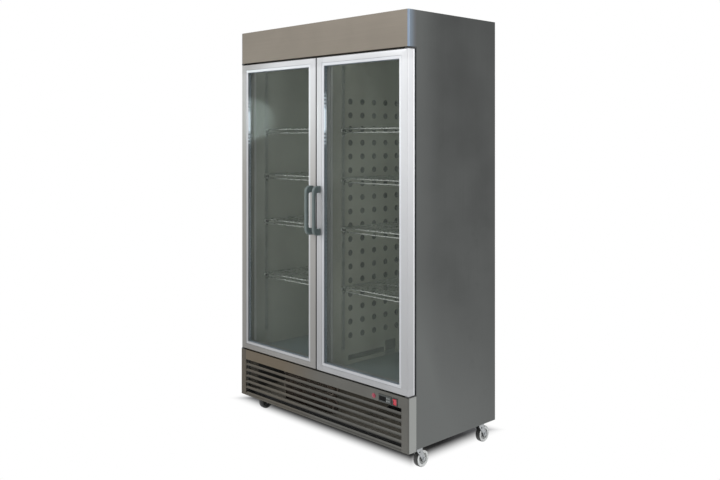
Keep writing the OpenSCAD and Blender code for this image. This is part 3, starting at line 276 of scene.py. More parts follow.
class ShaderKit(NodeKit):
    """Builds the node tree of one material, with patterns on Object coordinates."""

    def __init__(self, name: str) -> None:
        """Starts an empty material.

        Args:
            name: Its name.
        """
        self.material = bpy.data.materials.new(name)
        super().__init__(self.material, "ShaderNodeOutputMaterial")
        self.place = self.wire(self.node("ShaderNodeTexCoord"), "Object")
        split = self.node("ShaderNodeSeparateXYZ", {}, {"Vector": self.place})
        self.x, self.y, self.z = (self.wire(split, axis) for axis in "XYZ")

    @property
    def across(self) -> Wire:
        """The distance from the object's middle plane."""
        return self.sum("ABSOLUTE", self.x)

    def noise(self, scale: float, detail: float = 3.0, stretch: Point = (1, 1, 1),
              shift: Point = (0, 0, 0)) -> Wire:
        """Adds a noise with a number of features per metre, about 0.5 on average."""
        at = self.node("ShaderNodeMapping", {}, {"Vector": self.place, "Scale": stretch, "Location": shift})
        return self.wire(self.node("ShaderNodeTexNoise", {}, {
            "Vector": self.wire(at), "Scale": scale, "Detail": detail}))

    def cells(self, scale: float, output: str = "Distance") -> Wire:
        """Adds a cell pattern and returns the output named."""
        cell = self.node("ShaderNodeTexVoronoi", {}, {"Vector": self.place, "Scale": scale})
        return self.wire(cell, output)

    def blend(self, share: Operand, low: Tone, high: Tone) -> Wire:
        """Mixes two colours, where a share of 0 gives low and 1 gives high."""
        low, high = (tone if isinstance(tone, Wire) else (*tone, 1.0) for tone in (low, high))
        return self.wire(self.node("ShaderNodeMix", {"data_type": "RGBA"}, {0: share, 6: low, 7: high}), 2)

    def scaled(self, colour: Wire, by: Operand) -> Wire:
        """Returns a colour with all its channels multiplied."""
        return self.wire(self.node("ShaderNodeVectorMath", {"operation": "SCALE"}, {0: colour, "Scale": by}))

    def relief(self, height: Wire, depth: float, strength: float = 1.0) -> Wire:
        """Turns a height from 0 to 1 into the normal of a relief with a depth in metres."""
        return self.wire(self.node("ShaderNodeBump", {}, {
            "Height": height, "Distance": depth, "Strength": strength}), "Normal")


@dataclass(frozen=True)
class Finish:
    """A surface finish. Its subclasses say how colour, gloss and relief vary."""

    name: str
    slot: str
    colour: Colour
    roughness: float = 0.5
    metallic: float = 0.0

    def material(self) -> bpy.types.Material:
        """Returns the material, which is made the first time.

        Returns:
            A material with one Principled shader.
        """
        known = bpy.data.materials.get(self.name)
        if known:
            return known
        kit = ShaderKit(self.name)
        kit.end(kit.node("ShaderNodeBsdfPrincipled", {}, {"Metallic": self.metallic, **self.shade(kit)}))
        return kit.material

    def shade(self, kit: ShaderKit) -> Sockets:
        """Wires up what feeds the shader's sockets."""
        raise NotImplementedError

    def darker(self, share: float) -> Colour:
        """Returns the finish's colour at a share of its light."""
        return tuple(channel * share for channel in self.colour)

    def varied(self, kit: ShaderKit, share: Operand, low: float, high: float) -> Wire:
        """Returns the finish's colour between two shares of its light."""
        return kit.blend(share, self.darker(low), self.darker(high))


@dataclass(frozen=True)
class BrushedSteel(Finish):
    """Stainless sheet with a fine grain, soft clouds of painted reflection and faint handling marks."""

    grain: Along = Along.X
    cloud: float = 0.35
    cloud_size: float = 0.30
    streaks: Span = (3.0, 600.0)
    bands: Span = (1.0, 60.0)
    foot_glow: float = 0.0
    glow_gain: float = 1.9
    glow_z: Span = (0.95, 0.10)
    glow_y: Span = (0.40, -0.28)
    front_glow: Zone = ((-0.05, -0.24), 0.42)
    head_shade: float = 0.0
    head_z: Span = (1.2, 1.95)

    def lit(self, kit: ShaderKit, colour: Wire) -> Wire:
        """Returns the colour as the light falls on it."""
        # Painted light: the foot and the front edge are painted lighter and the head painted darker.
        low = kit.z.ramp(*self.glow_z) * (kit.y.ramp(*self.glow_y) * 0.5 + 0.5)
        colour = kit.scaled(colour, 1.0 - kit.z.ramp(*self.head_z) * self.head_shade)
        glow = (low + kit.y.zone(self.front_glow)) * self.foot_glow
        return kit.blend(glow, colour, self.darker(self.glow_gain))

    def shade(self, kit: ShaderKit) -> Sockets:
        """Wires up what feeds the shader's sockets."""
        fine, broad = (tuple(along if abs(part) > 0.5 else across for part in self.grain.value)
                       for along, across in (self.streaks, self.bands))
        streak = kit.noise(1.0, 2.0, fine)
        band = kit.noise(1.0, 2.0, broad, (3, 1, 2))
        # Painted reflection: the soft clouds and patches lighten and darken the colour where the room would
        # mirror in the steel.
        clouds = kit.noise(1 / self.cloud_size, 2.0, (1.0, 1.2, 0.7), (0.3, 0.0, 0.4)).ramp(0.25, 0.75)
        patches = kit.noise(1.6 / self.cloud_size, 3.0, (1.0, 1.0, 1.3), (7, 2, 5)).ramp(0.3, 0.7)
        marks = kit.noise(9.0, 4.0, (1, 1, 1), (4, 4, 1)).ramp(0.60, 0.72)
        tone = clouds * 0.6 + patches * 0.4 + band * 0.12
        colour = self.varied(kit, tone, 1 - self.cloud, 1 + self.cloud)
        colour = self.lit(kit, kit.blend(streak.ramp(0.3, 0.7) * 0.25, colour, self.darker(0.8)))
        return {
            "Base Color": colour, "Normal": kit.relief(streak, 0.02 * MM, 0.5),
            "Roughness": self.roughness + streak * 0.08 + marks * 0.07 - clouds * 0.04}


@dataclass(frozen=True)
class FoldedSteel(BrushedSteel):
    """Brushed sheet of a folded cover. Painted light and shade lie on its side returns and corners, its left
    end and its louvres.
    """

    half_w: float = 600 * MM
    front: float = 282.5 * MM
    # Painted light on the side returns, which can fade darker with depth.
    turned: Colour = (0.2, 0.2, 0.2)
    turned_fade: float = 0.0
    turned_in: Span = (-16 * MM, -10 * MM)
    turned_y: Span = (2 * MM, 6 * MM)
    fade_y: Span = (8 * MM, 50 * MM)
    # Painted corner colour: a painted highlight on the fascia's corners, painted shade on the base cover's.
    edge: Colour = (0.3, 0.3, 0.3)
    edge_share: float = 0.0
    edge_in: Span = (-9 * MM, -4 * MM)
    edge_y: Span = (3 * MM, 8 * MM)
    # Painted shade on the left end of the cover, with a painted shadow line along its edge.
    end_x: float = -563 * MM
    end_share: float = 0.0
    end_in: Span = (2 * MM, -1 * MM)
    groove_w: float = 3 * MM
    groove_gain: float = 1.6
    warm: Colour = (0.2, 0.2, 0.2)
    warm_share: float = 0.0
    warm_x: Span = (0.1, -0.3)
    slat_from: float = 103 * MM
    slat_pitch: float = 30.2 * MM
    slat_h: float = 11 * MM
    slat_count: int = 6
    slat_half: float = 559 * MM
    slat_shade: float = 0.0
    # Painted shade over the louvres and the rail below them.
    slat_dull: float = 0.0

    @property
    def slat_top(self) -> float:
        """The height at which the louvres end."""
        return self.slat_from + self.slat_count * self.slat_pitch

    def louvred(self, kit: ShaderKit) -> Wire:
        """Returns 1 on the louvres and on the rail below them."""
        return kit.z.ramp(self.slat_top + 2 * MM, self.slat_top - 2 * MM) * (kit.across < self.slat_half)

    def slats(self, kit: ShaderKit) -> Wire:
        """Returns how much light each height of a louvre blade gets, and 1 beside the louvres."""
        rise = kit.sum("WRAP", kit.z - self.slat_from, self.slat_pitch, 0.0)
        blade = kit.z.within(self.slat_from, self.slat_top) * (kit.across < self.slat_half)
        shade = (1.0 - rise.ramp(0.0, self.slat_h * 0.85)) * self.slat_shade
        bright = rise.ramp(self.slat_h * 0.7, self.slat_h) * self.slat_shade * 0.5
        return 1.0 - blade * (shade - bright)

    def lit(self, kit: ShaderKit, colour: Wire) -> Wire:
        """Returns the colour as the light falls on it."""
        out = kit.across - self.half_w
        beyond = kit.x - self.end_x
        depth = kit.y + self.front
        # Painted shade dims the louvres and the rail below them.
        dull = self.louvred(kit) * self.slat_dull
        colour = kit.blend(kit.x.ramp(*self.warm_x) * self.warm_share * (1.0 - dull * 2.0), colour, self.warm)
        colour = kit.scaled(colour, self.slats(kit) * (1.0 - dull))
        # Painted shade on the left end, and a painted shadow line at its edge.
        colour = kit.blend(beyond.ramp(*self.end_in) * self.end_share, colour, self.darker(0.36))
        groove = 1.0 - kit.sum("ABSOLUTE", beyond).ramp(0.0, self.groove_w)
        colour = kit.blend(groove * self.end_share * self.groove_gain, colour, self.darker(0.25))
        # Painted light on the side returns and the corners.
        turned = kit.blend(depth.ramp(*self.fade_y) * self.turned_fade, self.turned, self.darker(0.4))
        colour = kit.blend(depth.ramp(*self.turned_y) * out.ramp(*self.turned_in), colour, turned)
        corner = out.ramp(*self.edge_in) * (1.0 - depth.ramp(*self.edge_y))
        return kit.blend(corner * self.edge_share, colour, self.edge)


@dataclass(frozen=True)
class Galvanised(Finish):
    """Zinc-plated sheet with spangle and dull patches."""

    spangle: float = 9 * MM

    def shade(self, kit: ShaderKit) -> Sockets:
        """Wires up what feeds the shader's sockets."""
        cell = kit.cells(1 / self.spangle, "Color")
        tone = kit.wire(kit.node("ShaderNodeSeparateXYZ", {}, {"Vector": cell}), "X")
        dull = kit.noise(6.0, 4.0).ramp(0.4, 0.7)
        return {
            "Base Color": kit.blend(dull * 0.5, self.varied(kit, tone, 0.82, 1.1), self.darker(0.7)),
            "Roughness": self.roughness + tone * 0.12 + dull * 0.12,
            "Normal": kit.relief(kit.noise(400.0, 2.0), 0.02 * MM)}


@dataclass(frozen=True)
class Powder(Finish):
    """Powder coat with a fine orange peel and soft clouds."""

    peel: float = 1.4 * MM
    coat: float = 0.0

    def shade(self, kit: ShaderKit) -> Sockets:
        """Wires up what feeds the shader's sockets."""
        peel = kit.noise(1 / self.peel, 2.0)
        broad = kit.noise(5.0, 3.0, (1, 1, 0.5), (2, 0, 1)).ramp(0.3, 0.7)
        return {
            "Base Color": self.varied(kit, broad, 0.94, 1.05), "Coat Weight": self.coat,
            "Roughness": self.roughness + broad * 0.06 + peel * 0.04,
            "Normal": kit.relief(peel, 0.03 * MM, 0.6)}


@dataclass(frozen=True)
class Extruded(Finish):
    """Coated aluminium extrusion with faint die lines, with painted light and shade: dimmer towards the
    floor, the far side, the lower left door, the recesses behind the glass and the gap between the doors,
    lighter on the right door's hinge side and on the rear faces.
    """

    fall: float = 0.5
    fall_z: Span = (1.90, 0.20)
    far: float = 0.38
    far_x: Span = (-0.25, -0.585)
    left: float = 0.22
    dusk: Colour = (0.66, 0.62, 0.55)
    warm: float = 0.9
    hinge: Zone = ((400 * MM, 550 * MM), 0.12)
    stile_x: float = 26 * MM
    stile: Zone = ((28 * MM, 22 * MM), 0.06)
    foot: Zone = ((374 * MM, 366 * MM), 0.06)
    head: Zone = ((1775 * MM, 1800 * MM), 0.10)
    # Painted highlight on the rear faces; painted shade on the faces behind the glass and in the gap between
    # the doors.
    rear: float = -246.5 * MM
    rear_gain: float = 0.55
    glazed_x: Span = (48 * MM, 552 * MM)
    glazed_z: Span = (374 * MM, 1797 * MM)
    glazed_y: float = -257.5 * MM
    glazed_shade: float = 0.42
    meeting: Span = (3.6 * MM, -280.0 * MM)
    meeting_shade: float = 0.75

    def members(self, kit: ShaderKit) -> Wire:
        """Returns how much light each member of the frames gets."""
        sides = kit.x.zone(self.hinge) - kit.x.distance(self.stile_x).zone(self.stile)
        return 1.0 + sides + (kit.x > 0.0) * kit.z.zone(self.foot) - kit.z.zone(self.head)

    def recesses(self, kit: ShaderKit) -> Wire:
        """Returns how much light the faces behind the front get."""
        inner = kit.across.within(*self.glazed_x) * kit.z.within(*self.glazed_z) * (kit.y > self.glazed_y)
        # Painted highlight on the rear faces, painted shade behind the glass and in the gap between the
        # doors.
        rear = kit.y.ramp(self.rear - 1 * MM, self.rear + 1 * MM) * self.rear_gain
        gap = (kit.across < self.meeting[0]) * (kit.y > self.meeting[1])
        return (1.0 + (1.0 - inner) * rear - inner * self.glazed_shade) * (1.0 - gap * self.meeting_shade)

    def shade(self, kit: ShaderKit) -> Sockets:
        """Wires up what feeds the shader's sockets."""
        lines = kit.noise(1.0, 2.0, (900, 900, 900)) * 0.4 + kit.noise(1.0, 2.0, (700, 700, 2)) * 0.6
        broad = kit.noise(3.0, 3.0, (2, 1, 0.6), (1, 5, 0)).ramp(0.3, 0.7)
        # Painted shade: darker towards the floor, the far side and the lower part of the left door, tinted
        # towards the dusk colour.
        fall = kit.z.ramp(*self.fall_z) * self.fall
        far = kit.x.ramp(*self.far_x) * (kit.z.ramp(0.4, 1.8) * 0.45 + 0.55) * self.far
        left = kit.x.ramp(2 * MM, -2 * MM) * kit.z.ramp(1.80, 1.10)
        colour = kit.blend((left * 0.6 + far) * self.warm, self.varied(kit, broad, 0.97, 1.03), self.dusk)
        colour = kit.scaled(colour, (1.0 - fall) * (1.0 - far) * (1.0 - left * self.left) * self.members(kit))
        return {
            "Base Color": kit.scaled(colour, self.recesses(kit)), "Coat Weight": 0.15,
            "Roughness": self.roughness + lines * 0.10, "Normal": kit.relief(lines, 0.015 * MM, 0.5)}


@dataclass(frozen=True)
class Moulded(Finish):
    """Moulded plastic or rubber with a spark-eroded grain."""

    grain: float = 0.5 * MM
    depth: float = 0.04 * MM
    coat: float = 0.0
    mottle: float = 0.08
    gloss: float = 0.5

    def shade(self, kit: ShaderKit) -> Sockets:
        """Wires up what feeds the shader's sockets."""
        grain = kit.noise(1 / self.grain, 2.0)
        broad = kit.noise(14.0, 3.0, (1, 1, 1), (2, 6, 1)).ramp(0.3, 0.7)
        return {
            "Base Color": self.varied(kit, broad, 1 - self.mottle, 1 + self.mottle),
            "Coat Weight": self.coat, "Specular IOR Level": self.gloss,
            "Roughness": self.roughness + grain * 0.08 + broad * 0.05,
            "Normal": kit.relief(grain, self.depth, 0.7)}


@dataclass(frozen=True)
class Seal(Moulded):
    """Door seal: dark towards the glass, with a painted highlight along its outer side."""

    lip: Colour = (0.3, 0.3, 0.3)
    outer_x: float = 572 * MM

    def shade(self, kit: ShaderKit) -> Sockets:
        """Wires up what feeds the shader's sockets."""
        grain = kit.noise(1 / self.grain, 2.0)
        # Painted highlight: the outer side is painted pale.
        return {
            "Base Color": kit.blend(kit.across > self.outer_x, self.varied(kit, grain, 0.9, 1.1), self.lip),
            "Roughness": self.roughness + grain * 0.1, "Normal": kit.relief(grain, self.depth, 0.6)}


@dataclass(frozen=True)
class WheelNylon(Moulded):
    """Nylon of the wheels: a clean rim, darker over the web, a dark hub and scuffs, with painted shade on the
    tread, on the two left wheels and on the rear right wheel.
    """

    axle_z: float = 37.5 * MM
    middle_y: float = 66 * MM
    reach_y: float = 219.5 * MM
    web: Zone = ((25.5 * MM, 23.5 * MM), 0.62)
    hub: Zone = ((15 * MM, 13 * MM), 0.12)
    tread: Zone = ((34.8 * MM, 35.6 * MM), 0.06)
    shaded: float = 0.93
    back: float = 0.12

    def shade(self, kit: ShaderKit) -> Sockets:
        """Wires up what feeds the shader's sockets."""
        away = kit.y.distance(self.middle_y) - self.reach_y
        rise = kit.z - self.axle_z
        radius = kit.sum("SQRT", away * away + rise * rise)
        grain = kit.noise(1 / self.grain, 2.0)
        scuff = kit.noise(60.0, 4.0).ramp(0.35, 0.7)
        colour = self.varied(kit, scuff, 1.0, 0.9)
        # Darker over the web and the hub; the dark tread is painted shade.
        for span, tone in (self.web, self.hub, self.tread):
            colour = kit.blend(radius.ramp(*span), colour, self.darker(tone))
        # Painted shade on the two left wheels and the rear right wheel.
        dim = (kit.x < 0.0) * self.shaded + (kit.x > 0.0) * (kit.y > 0.0) * self.back
        return {
            "Base Color": kit.scaled(colour, 1.0 - dim), "Coat Weight": self.coat,
            "Roughness": self.roughness + grain * 0.08 + scuff * 0.1,
            "Normal": kit.relief(grain, self.depth, 0.7)}


@dataclass(frozen=True)
class Stucco(Finish):
    """Liner sheet with a rolled stucco relief and soft clouds, dimmer near the doors and the ceiling."""

    cell: float = 4 * MM
    near: float = 0.30
    near_y: Span = (-0.10, -0.20)
    top: Zone = ((1.45, 1.82), 0.22)

    def inside(self, kit: ShaderKit) -> Operand:
        """Returns how much of a face is shut off from the light."""
        return 0.0

    def shade(self, kit: ShaderKit) -> Sockets:
        """Wires up what feeds the shader's sockets."""
        stucco = kit.noise(1 / self.cell, 1.0).ramp(0.35, 0.65)
        broad = kit.noise(2.4, 3.0, (1, 1, 1), (1, 2, 3)).ramp(0.3, 0.7)
        colour = kit.blend(self.inside(kit), self.varied(kit, broad, 0.88, 1.08), self.darker(0.12))
        # Painted shade near the doors and under the ceiling.
        shade = kit.y.ramp(*self.near_y) * self.near + kit.z.zone(self.top)
        return {
            "Base Color": kit.scaled(colour, 1.0 - shade), "Roughness": self.roughness + broad * 0.08,
            "Normal": kit.relief(stucco, 0.12 * MM, 0.4)}


@dataclass(frozen=True)
class DuctSheet(Stucco):
    """Liner sheet of the air duct, with painted shade on the faces inside it."""

    outside: float = 49.4 * MM

    def inside(self, kit: ShaderKit) -> Wire:
        """Returns 1 on the faces that look into the duct."""
        return kit.across < self.outside


@dataclass(frozen=True)
class Plated(Finish):
    """Plated wire or bar, with dull rubbed patches."""

    def shade(self, kit: ShaderKit) -> Sockets:
        """Wires up what feeds the shader's sockets."""
        rub = kit.noise(30.0, 4.0).ramp(0.45, 0.7)
        return {
            "Base Color": kit.blend(rub * 0.5, self.colour, self.darker(0.7)),
            "Roughness": self.roughness + rub * 0.2,
            "Normal": kit.relief(kit.noise(500.0, 2.0), 0.01 * MM)}


@dataclass(frozen=True)
class Tarnished(Finish):
    """Copper tube or finned block with tarnish in patches."""

    stain: Colour = (0.10, 0.05, 0.03)

    def shade(self, kit: ShaderKit) -> Sockets:
        """Wires up what feeds the shader's sockets."""
        stain = kit.noise(22.0, 4.0).ramp(0.48, 0.72)
        return {
            "Base Color": kit.blend(stain * 0.7, self.colour, self.stain),
            "Roughness": self.roughness + stain * 0.25,
            "Normal": kit.relief(kit.noise(300.0, 3.0), 0.03 * MM)}


@dataclass(frozen=True)
class Pane(Finish):
    """Float glass of the double glazing: a grey-green tint with a thin film of dust and wiping marks."""

    veil: float = 0.16

    def shade(self, kit: ShaderKit) -> Sockets:
        """Wires up what feeds the shader's sockets."""
        wipe = kit.noise(1.0, 3.0, (6, 6, 2.5), (2, 2, 2)).ramp(0.35, 0.75)
        edge = kit.wire(kit.node("ShaderNodeLayerWeight", {}, {"Blend": 0.35}), "Fresnel")
        return {
            "Base Color": kit.blend(wipe, self.colour, self.darker(1.3)),
            "Alpha": self.veil + edge * 0.05 + wipe * 0.012,
            "Roughness": self.roughness + wipe * 0.03, "IOR": 1.5}


@dataclass(frozen=True)
class Perforated(Finish):
    """Spacer bar of the double glazing, with breathing holes. A painted highlight glows on it high up, and
    its front face and middle band are painted lighter.
    """

    pitch: float = 18 * MM
    hole: float = 4.2 * MM
    front_y: float = -271.6 * MM
    middle_y: float = -265.8 * MM
    bead_half: Span = (2.2 * MM, 3.8 * MM)
    rails_z: Span = (384 * MM, 1787 * MM)
    # Where the painted highlight glows on the spacer.
    shine_z: float = 1535 * MM
    shine_h: float = 62 * MM
    dots_h: float = 135 * MM
    shine: Colour = (0.84, 0.94, 1.0)

    def shade(self, kit: ShaderKit) -> Sockets:
        """Wires up what feeds the shader's sockets."""
        bead = 1.0 - kit.y.distance(self.middle_y).ramp(*self.bead_half)
        front = kit.y < self.front_y
        upright = kit.z.within(*self.rails_z)
        step = kit.z.repeat(self.pitch) * upright + kit.x.repeat(self.pitch) * (1.0 - upright)
        dots = step.ramp(self.hole + 1 * MM, self.hole)
        # Painted highlight: an emission high up on the front face and the middle band, dotted by the holes,
        # stands in for a reflection.
        away = kit.z.distance(self.shine_z)
        shine = kit.sum("MAXIMUM", away.ramp(self.shine_h + 8 * MM, self.shine_h - 20 * MM),
                        away.ramp(self.dots_h, self.dots_h - 30 * MM) * dots * 0.6)
        painted_glint = (front + bead * 0.42) * shine
        # Painted light: the front face and the middle band are lighter than the rest.
        colour = self.varied(kit, bead * 0.5 + front * 0.5, 0.55, 1.0)
        return {
            "Base Color": kit.blend(dots * bead * 0.5, colour, self.darker(0.2)),
            "Roughness": self.roughness + kit.noise(40.0, 3.0) * 0.15,
            "Emission Color": kit.blend(painted_glint, (0.0, 0.0, 0.0), self.shine), "Emission Strength": 1.0}


@dataclass(frozen=True)
class Lit(Finish):
    """A piece that glows a little, such as a lamp tube or a lens with a lamp behind it."""

    glow: float = 1.0
    rib: float = 1.5 * MM

    def shade(self, kit: ShaderKit) -> Sockets:
        """Wires up what feeds the shader's sockets."""
        ribs = kit.sum("SINE", kit.x * (2 * math.pi / self.rib)) * 0.5 + 0.5
        broad = kit.noise(20.0, 2.0)
        colour = self.varied(kit, broad, 0.9, 1.05)
        return {
            "Base Color": colour, "Roughness": self.roughness + broad * 0.05, "Coat Weight": 0.3,
            "Emission Color": colour, "Emission Strength": self.glow,
            "Normal": kit.relief(ribs, 0.05 * MM, 0.5)}


@dataclass(frozen=True)
class Foam(Finish):
    """Rigid foam with its closed cells."""

    def shade(self, kit: ShaderKit) -> Sockets:
        """Wires up what feeds the shader's sockets."""
        cell = kit.cells(900.0)
        stain = kit.noise(8.0, 4.0).ramp(0.4, 0.7)
        return {
            "Base Color": kit.blend(stain, self.colour, self.darker(0.75)),
            "Roughness": self.roughness + cell * 0.1, "Normal": kit.relief(cell, 0.3 * MM)}


SIDE_STEEL = BrushedSteel("side_steel", "outer_steel", linear(78, 80, 79), 0.40, 0.75, Along.Z,
                          cloud=0.20, cloud_size=0.42, foot_glow=1.22, head_shade=0.14)
# The covers carry painted light: the fascia a cool side return and a corner highlight; the base cover a pale
# side return, and painted shade on its corner, left end and louvres.
FRONT_STEEL = FoldedSteel("fascia_steel", "cover_steel", linear(132, 124, 113), 0.42, 0.55,
                          cloud=0.07, cloud_size=0.30, turned=linear(120, 132, 144), turned_fade=0.75,
                          edge=linear(150, 168, 192), edge_share=0.95)
BASE_STEEL = FoldedSteel("base_steel", "cover_steel", linear(101, 100, 95), 0.42, 0.55,
                         cloud=0.12, cloud_size=0.22, turned=linear(158, 160, 157),
                         edge=linear(92, 92, 88), edge_share=0.5, end_share=0.5,
                         warm=linear(104, 92, 74), warm_share=0.85, slat_shade=0.42, slat_dull=0.24)
ZINC = Galvanised("zinc_sheet", "galvanised", linear(178, 181, 183), 0.38, 0.85)
DUSTY_ZINC = Galvanised("dusty_zinc", "galvanised", linear(128, 125, 116), 0.7, 0.35)
FRAME_COAT = Extruded("door_frame_coat", "door_frame", linear(228, 229, 231), 0.34, 0.3)
# The glazing beads wear a lighter copy of the frame coat: a painted highlight.
BEAD_HIGHLIGHT_COAT = Extruded("glazing_bead_coat", "door_frame", linear(246, 248, 252), 0.28, 0.2,
                     fall=0.42, far=0.2, left=0.1, warm=0.2)
FRONT_TRIM = Moulded("front_frame_plastic", "frame_trim", linear(168, 170, 168), 0.45)
LINER = Stucco("liner_stucco", "liner", linear(176, 180, 170), 0.5, 0.25)
DUCT = DuctSheet("duct_sheet", "liner", linear(178, 180, 166), 0.5, 0.2, cell=2.5 * MM)
LINER_FLOOR = Stucco("liner_floor_sheet", "liner", linear(112, 128, 132), 0.45, 0.3, cell=6 * MM, near=0.1)
WIRE = Plated("shelf_plating", "shelf_wire", linear(178, 182, 177), 0.24, 0.9)
STANDARD = Plated("standard_plating", "standard_steel", linear(160, 164, 162), 0.34, 0.85)
BLACK = Moulded("black_plastic", "black_plastic", linear(40, 40, 40), 0.5)
BEZEL = Moulded("bezel_plastic", "black_plastic", linear(70, 73, 71), 0.55)
FAN_PLASTIC = Moulded("fan_moulding", "fan_plastic", linear(205, 205, 200), 0.4)
HANDLE = Moulded("handle_plastic", "handle", linear(104, 117, 116), 0.36,
                 grain=0.7 * MM, depth=0.02 * MM, coat=0.2)
GLASS = Pane("door_glass_pane", "door_glass", linear(128, 137, 128), 0.05, veil=0.038)
SPACER = Perforated("glazing_spacer", "spacer", linear(176, 190, 204), 0.38, 0.35)
SEAL = Seal("door_seal_rubber", "seal", linear(70, 70, 72), 0.62, lip=linear(214, 216, 220))
TUBE = Lit("lamp_tube_glass", "lamp_white", linear(236, 240, 236), 0.2, glow=4.6)
RED_LENS = Lit("red_lens", "lamp_red", linear(158, 44, 68), 0.3, glow=0.05)
RED_ROCKER = Moulded("red_rocker", "lamp_red", linear(212, 38, 60), 0.28,
                     grain=0.4 * MM, depth=0.01 * MM, coat=0.4)
DISPLAY = Moulded("display_window", "display", linear(5, 5, 6), 0.4,
                  grain=0.3 * MM, depth=0.002 * MM, gloss=0.12)
BUTTON = Moulded("button_pale", "button_grey", linear(138, 142, 141), 0.5)
DARK_BUTTON = Moulded("button_dark", "button_grey", linear(66, 70, 68), 0.5)
MARKING = Moulded("marking_white", "button_grey", linear(168, 170, 168), 0.6)
ENAMEL = Powder("compressor_enamel", "compressor_black", linear(38, 38, 40), 0.25, peel=2.2 * MM, coat=0.5)
RUBBER = Moulded("mount_rubber", "mount_rubber", linear(40, 40, 40), 0.75)
COIL = Tarnished("condenser_fins", "coil_copper", linear(118, 110, 100), 0.7, 0.1)
FINS = Tarnished("evaporator_fins", "coil_aluminium", linear(200, 203, 205), 0.4, 0.85,
                 stain=(0.35, 0.36, 0.37))
COPPER = Tarnished("copper_tube", "pipe_copper", linear(190, 122, 88), 0.42, 0.7)
NYLON = WheelNylon("castor_nylon", "wheel_nylon", linear(238, 240, 238), 0.42,
                   grain=0.8 * MM, depth=0.03 * MM, coat=0.1)
FOAM = Foam("rigid_foam", "foam", linear(232, 212, 150), 0.9)
SCREW_HEAD = (
    (1.0, 0.0), (1.0, 0.155), (0.86, 0.4464), (0.55, 0.62), (0.42, 0.62), (0.42, 0.217), (0.0, 0.186))


def rounded_box(size: Sequence[float], middle: Sequence[float], round_by: float,
                steps: int = 2) -> bmesh.types.BMesh:
    """Makes a box with rounded edges.

    Args:
        size: Its size along each axis.
        middle: Its middle.
        round_by: The radius of its edges, or 0 for sharp ones.
        steps: The segments of each rounded edge.

    Returns:
        The box.
    """
    shape = bmesh.new()
    bmesh.ops.create_cube(shape, size=1.0)
    bmesh.ops.scale(shape, vec=size, verts=shape.verts)
    bmesh.ops.translate(shape, vec=middle, verts=shape.verts)
    if round_by:
        bmesh.ops.bevel(shape, geom=shape.edges[:], offset=round_by, segments=steps,
                        profile=0.5, affect="EDGES", material=-1)
    return shape


def pushed(outline: Iterable[Sequence[float]], push: Sequence[float]) -> bmesh.types.BMesh:
    """Pushes a flat outline to a solid.

    Args:
        outline: Its corners in order, as points.
        push: How far and which way it is pushed.

    Returns:
        The solid.
    """
    shape = bmesh.new()
    face = shape.faces.new([shape.verts.new(point) for point in outline])
    grown = bmesh.ops.extrude_face_region(shape, geom=[face])
    moved = [item for item in grown["geom"] if isinstance(item, bmesh.types.BMVert)]
    bmesh.ops.translate(shape, vec=push, verts=moved)
    return shape


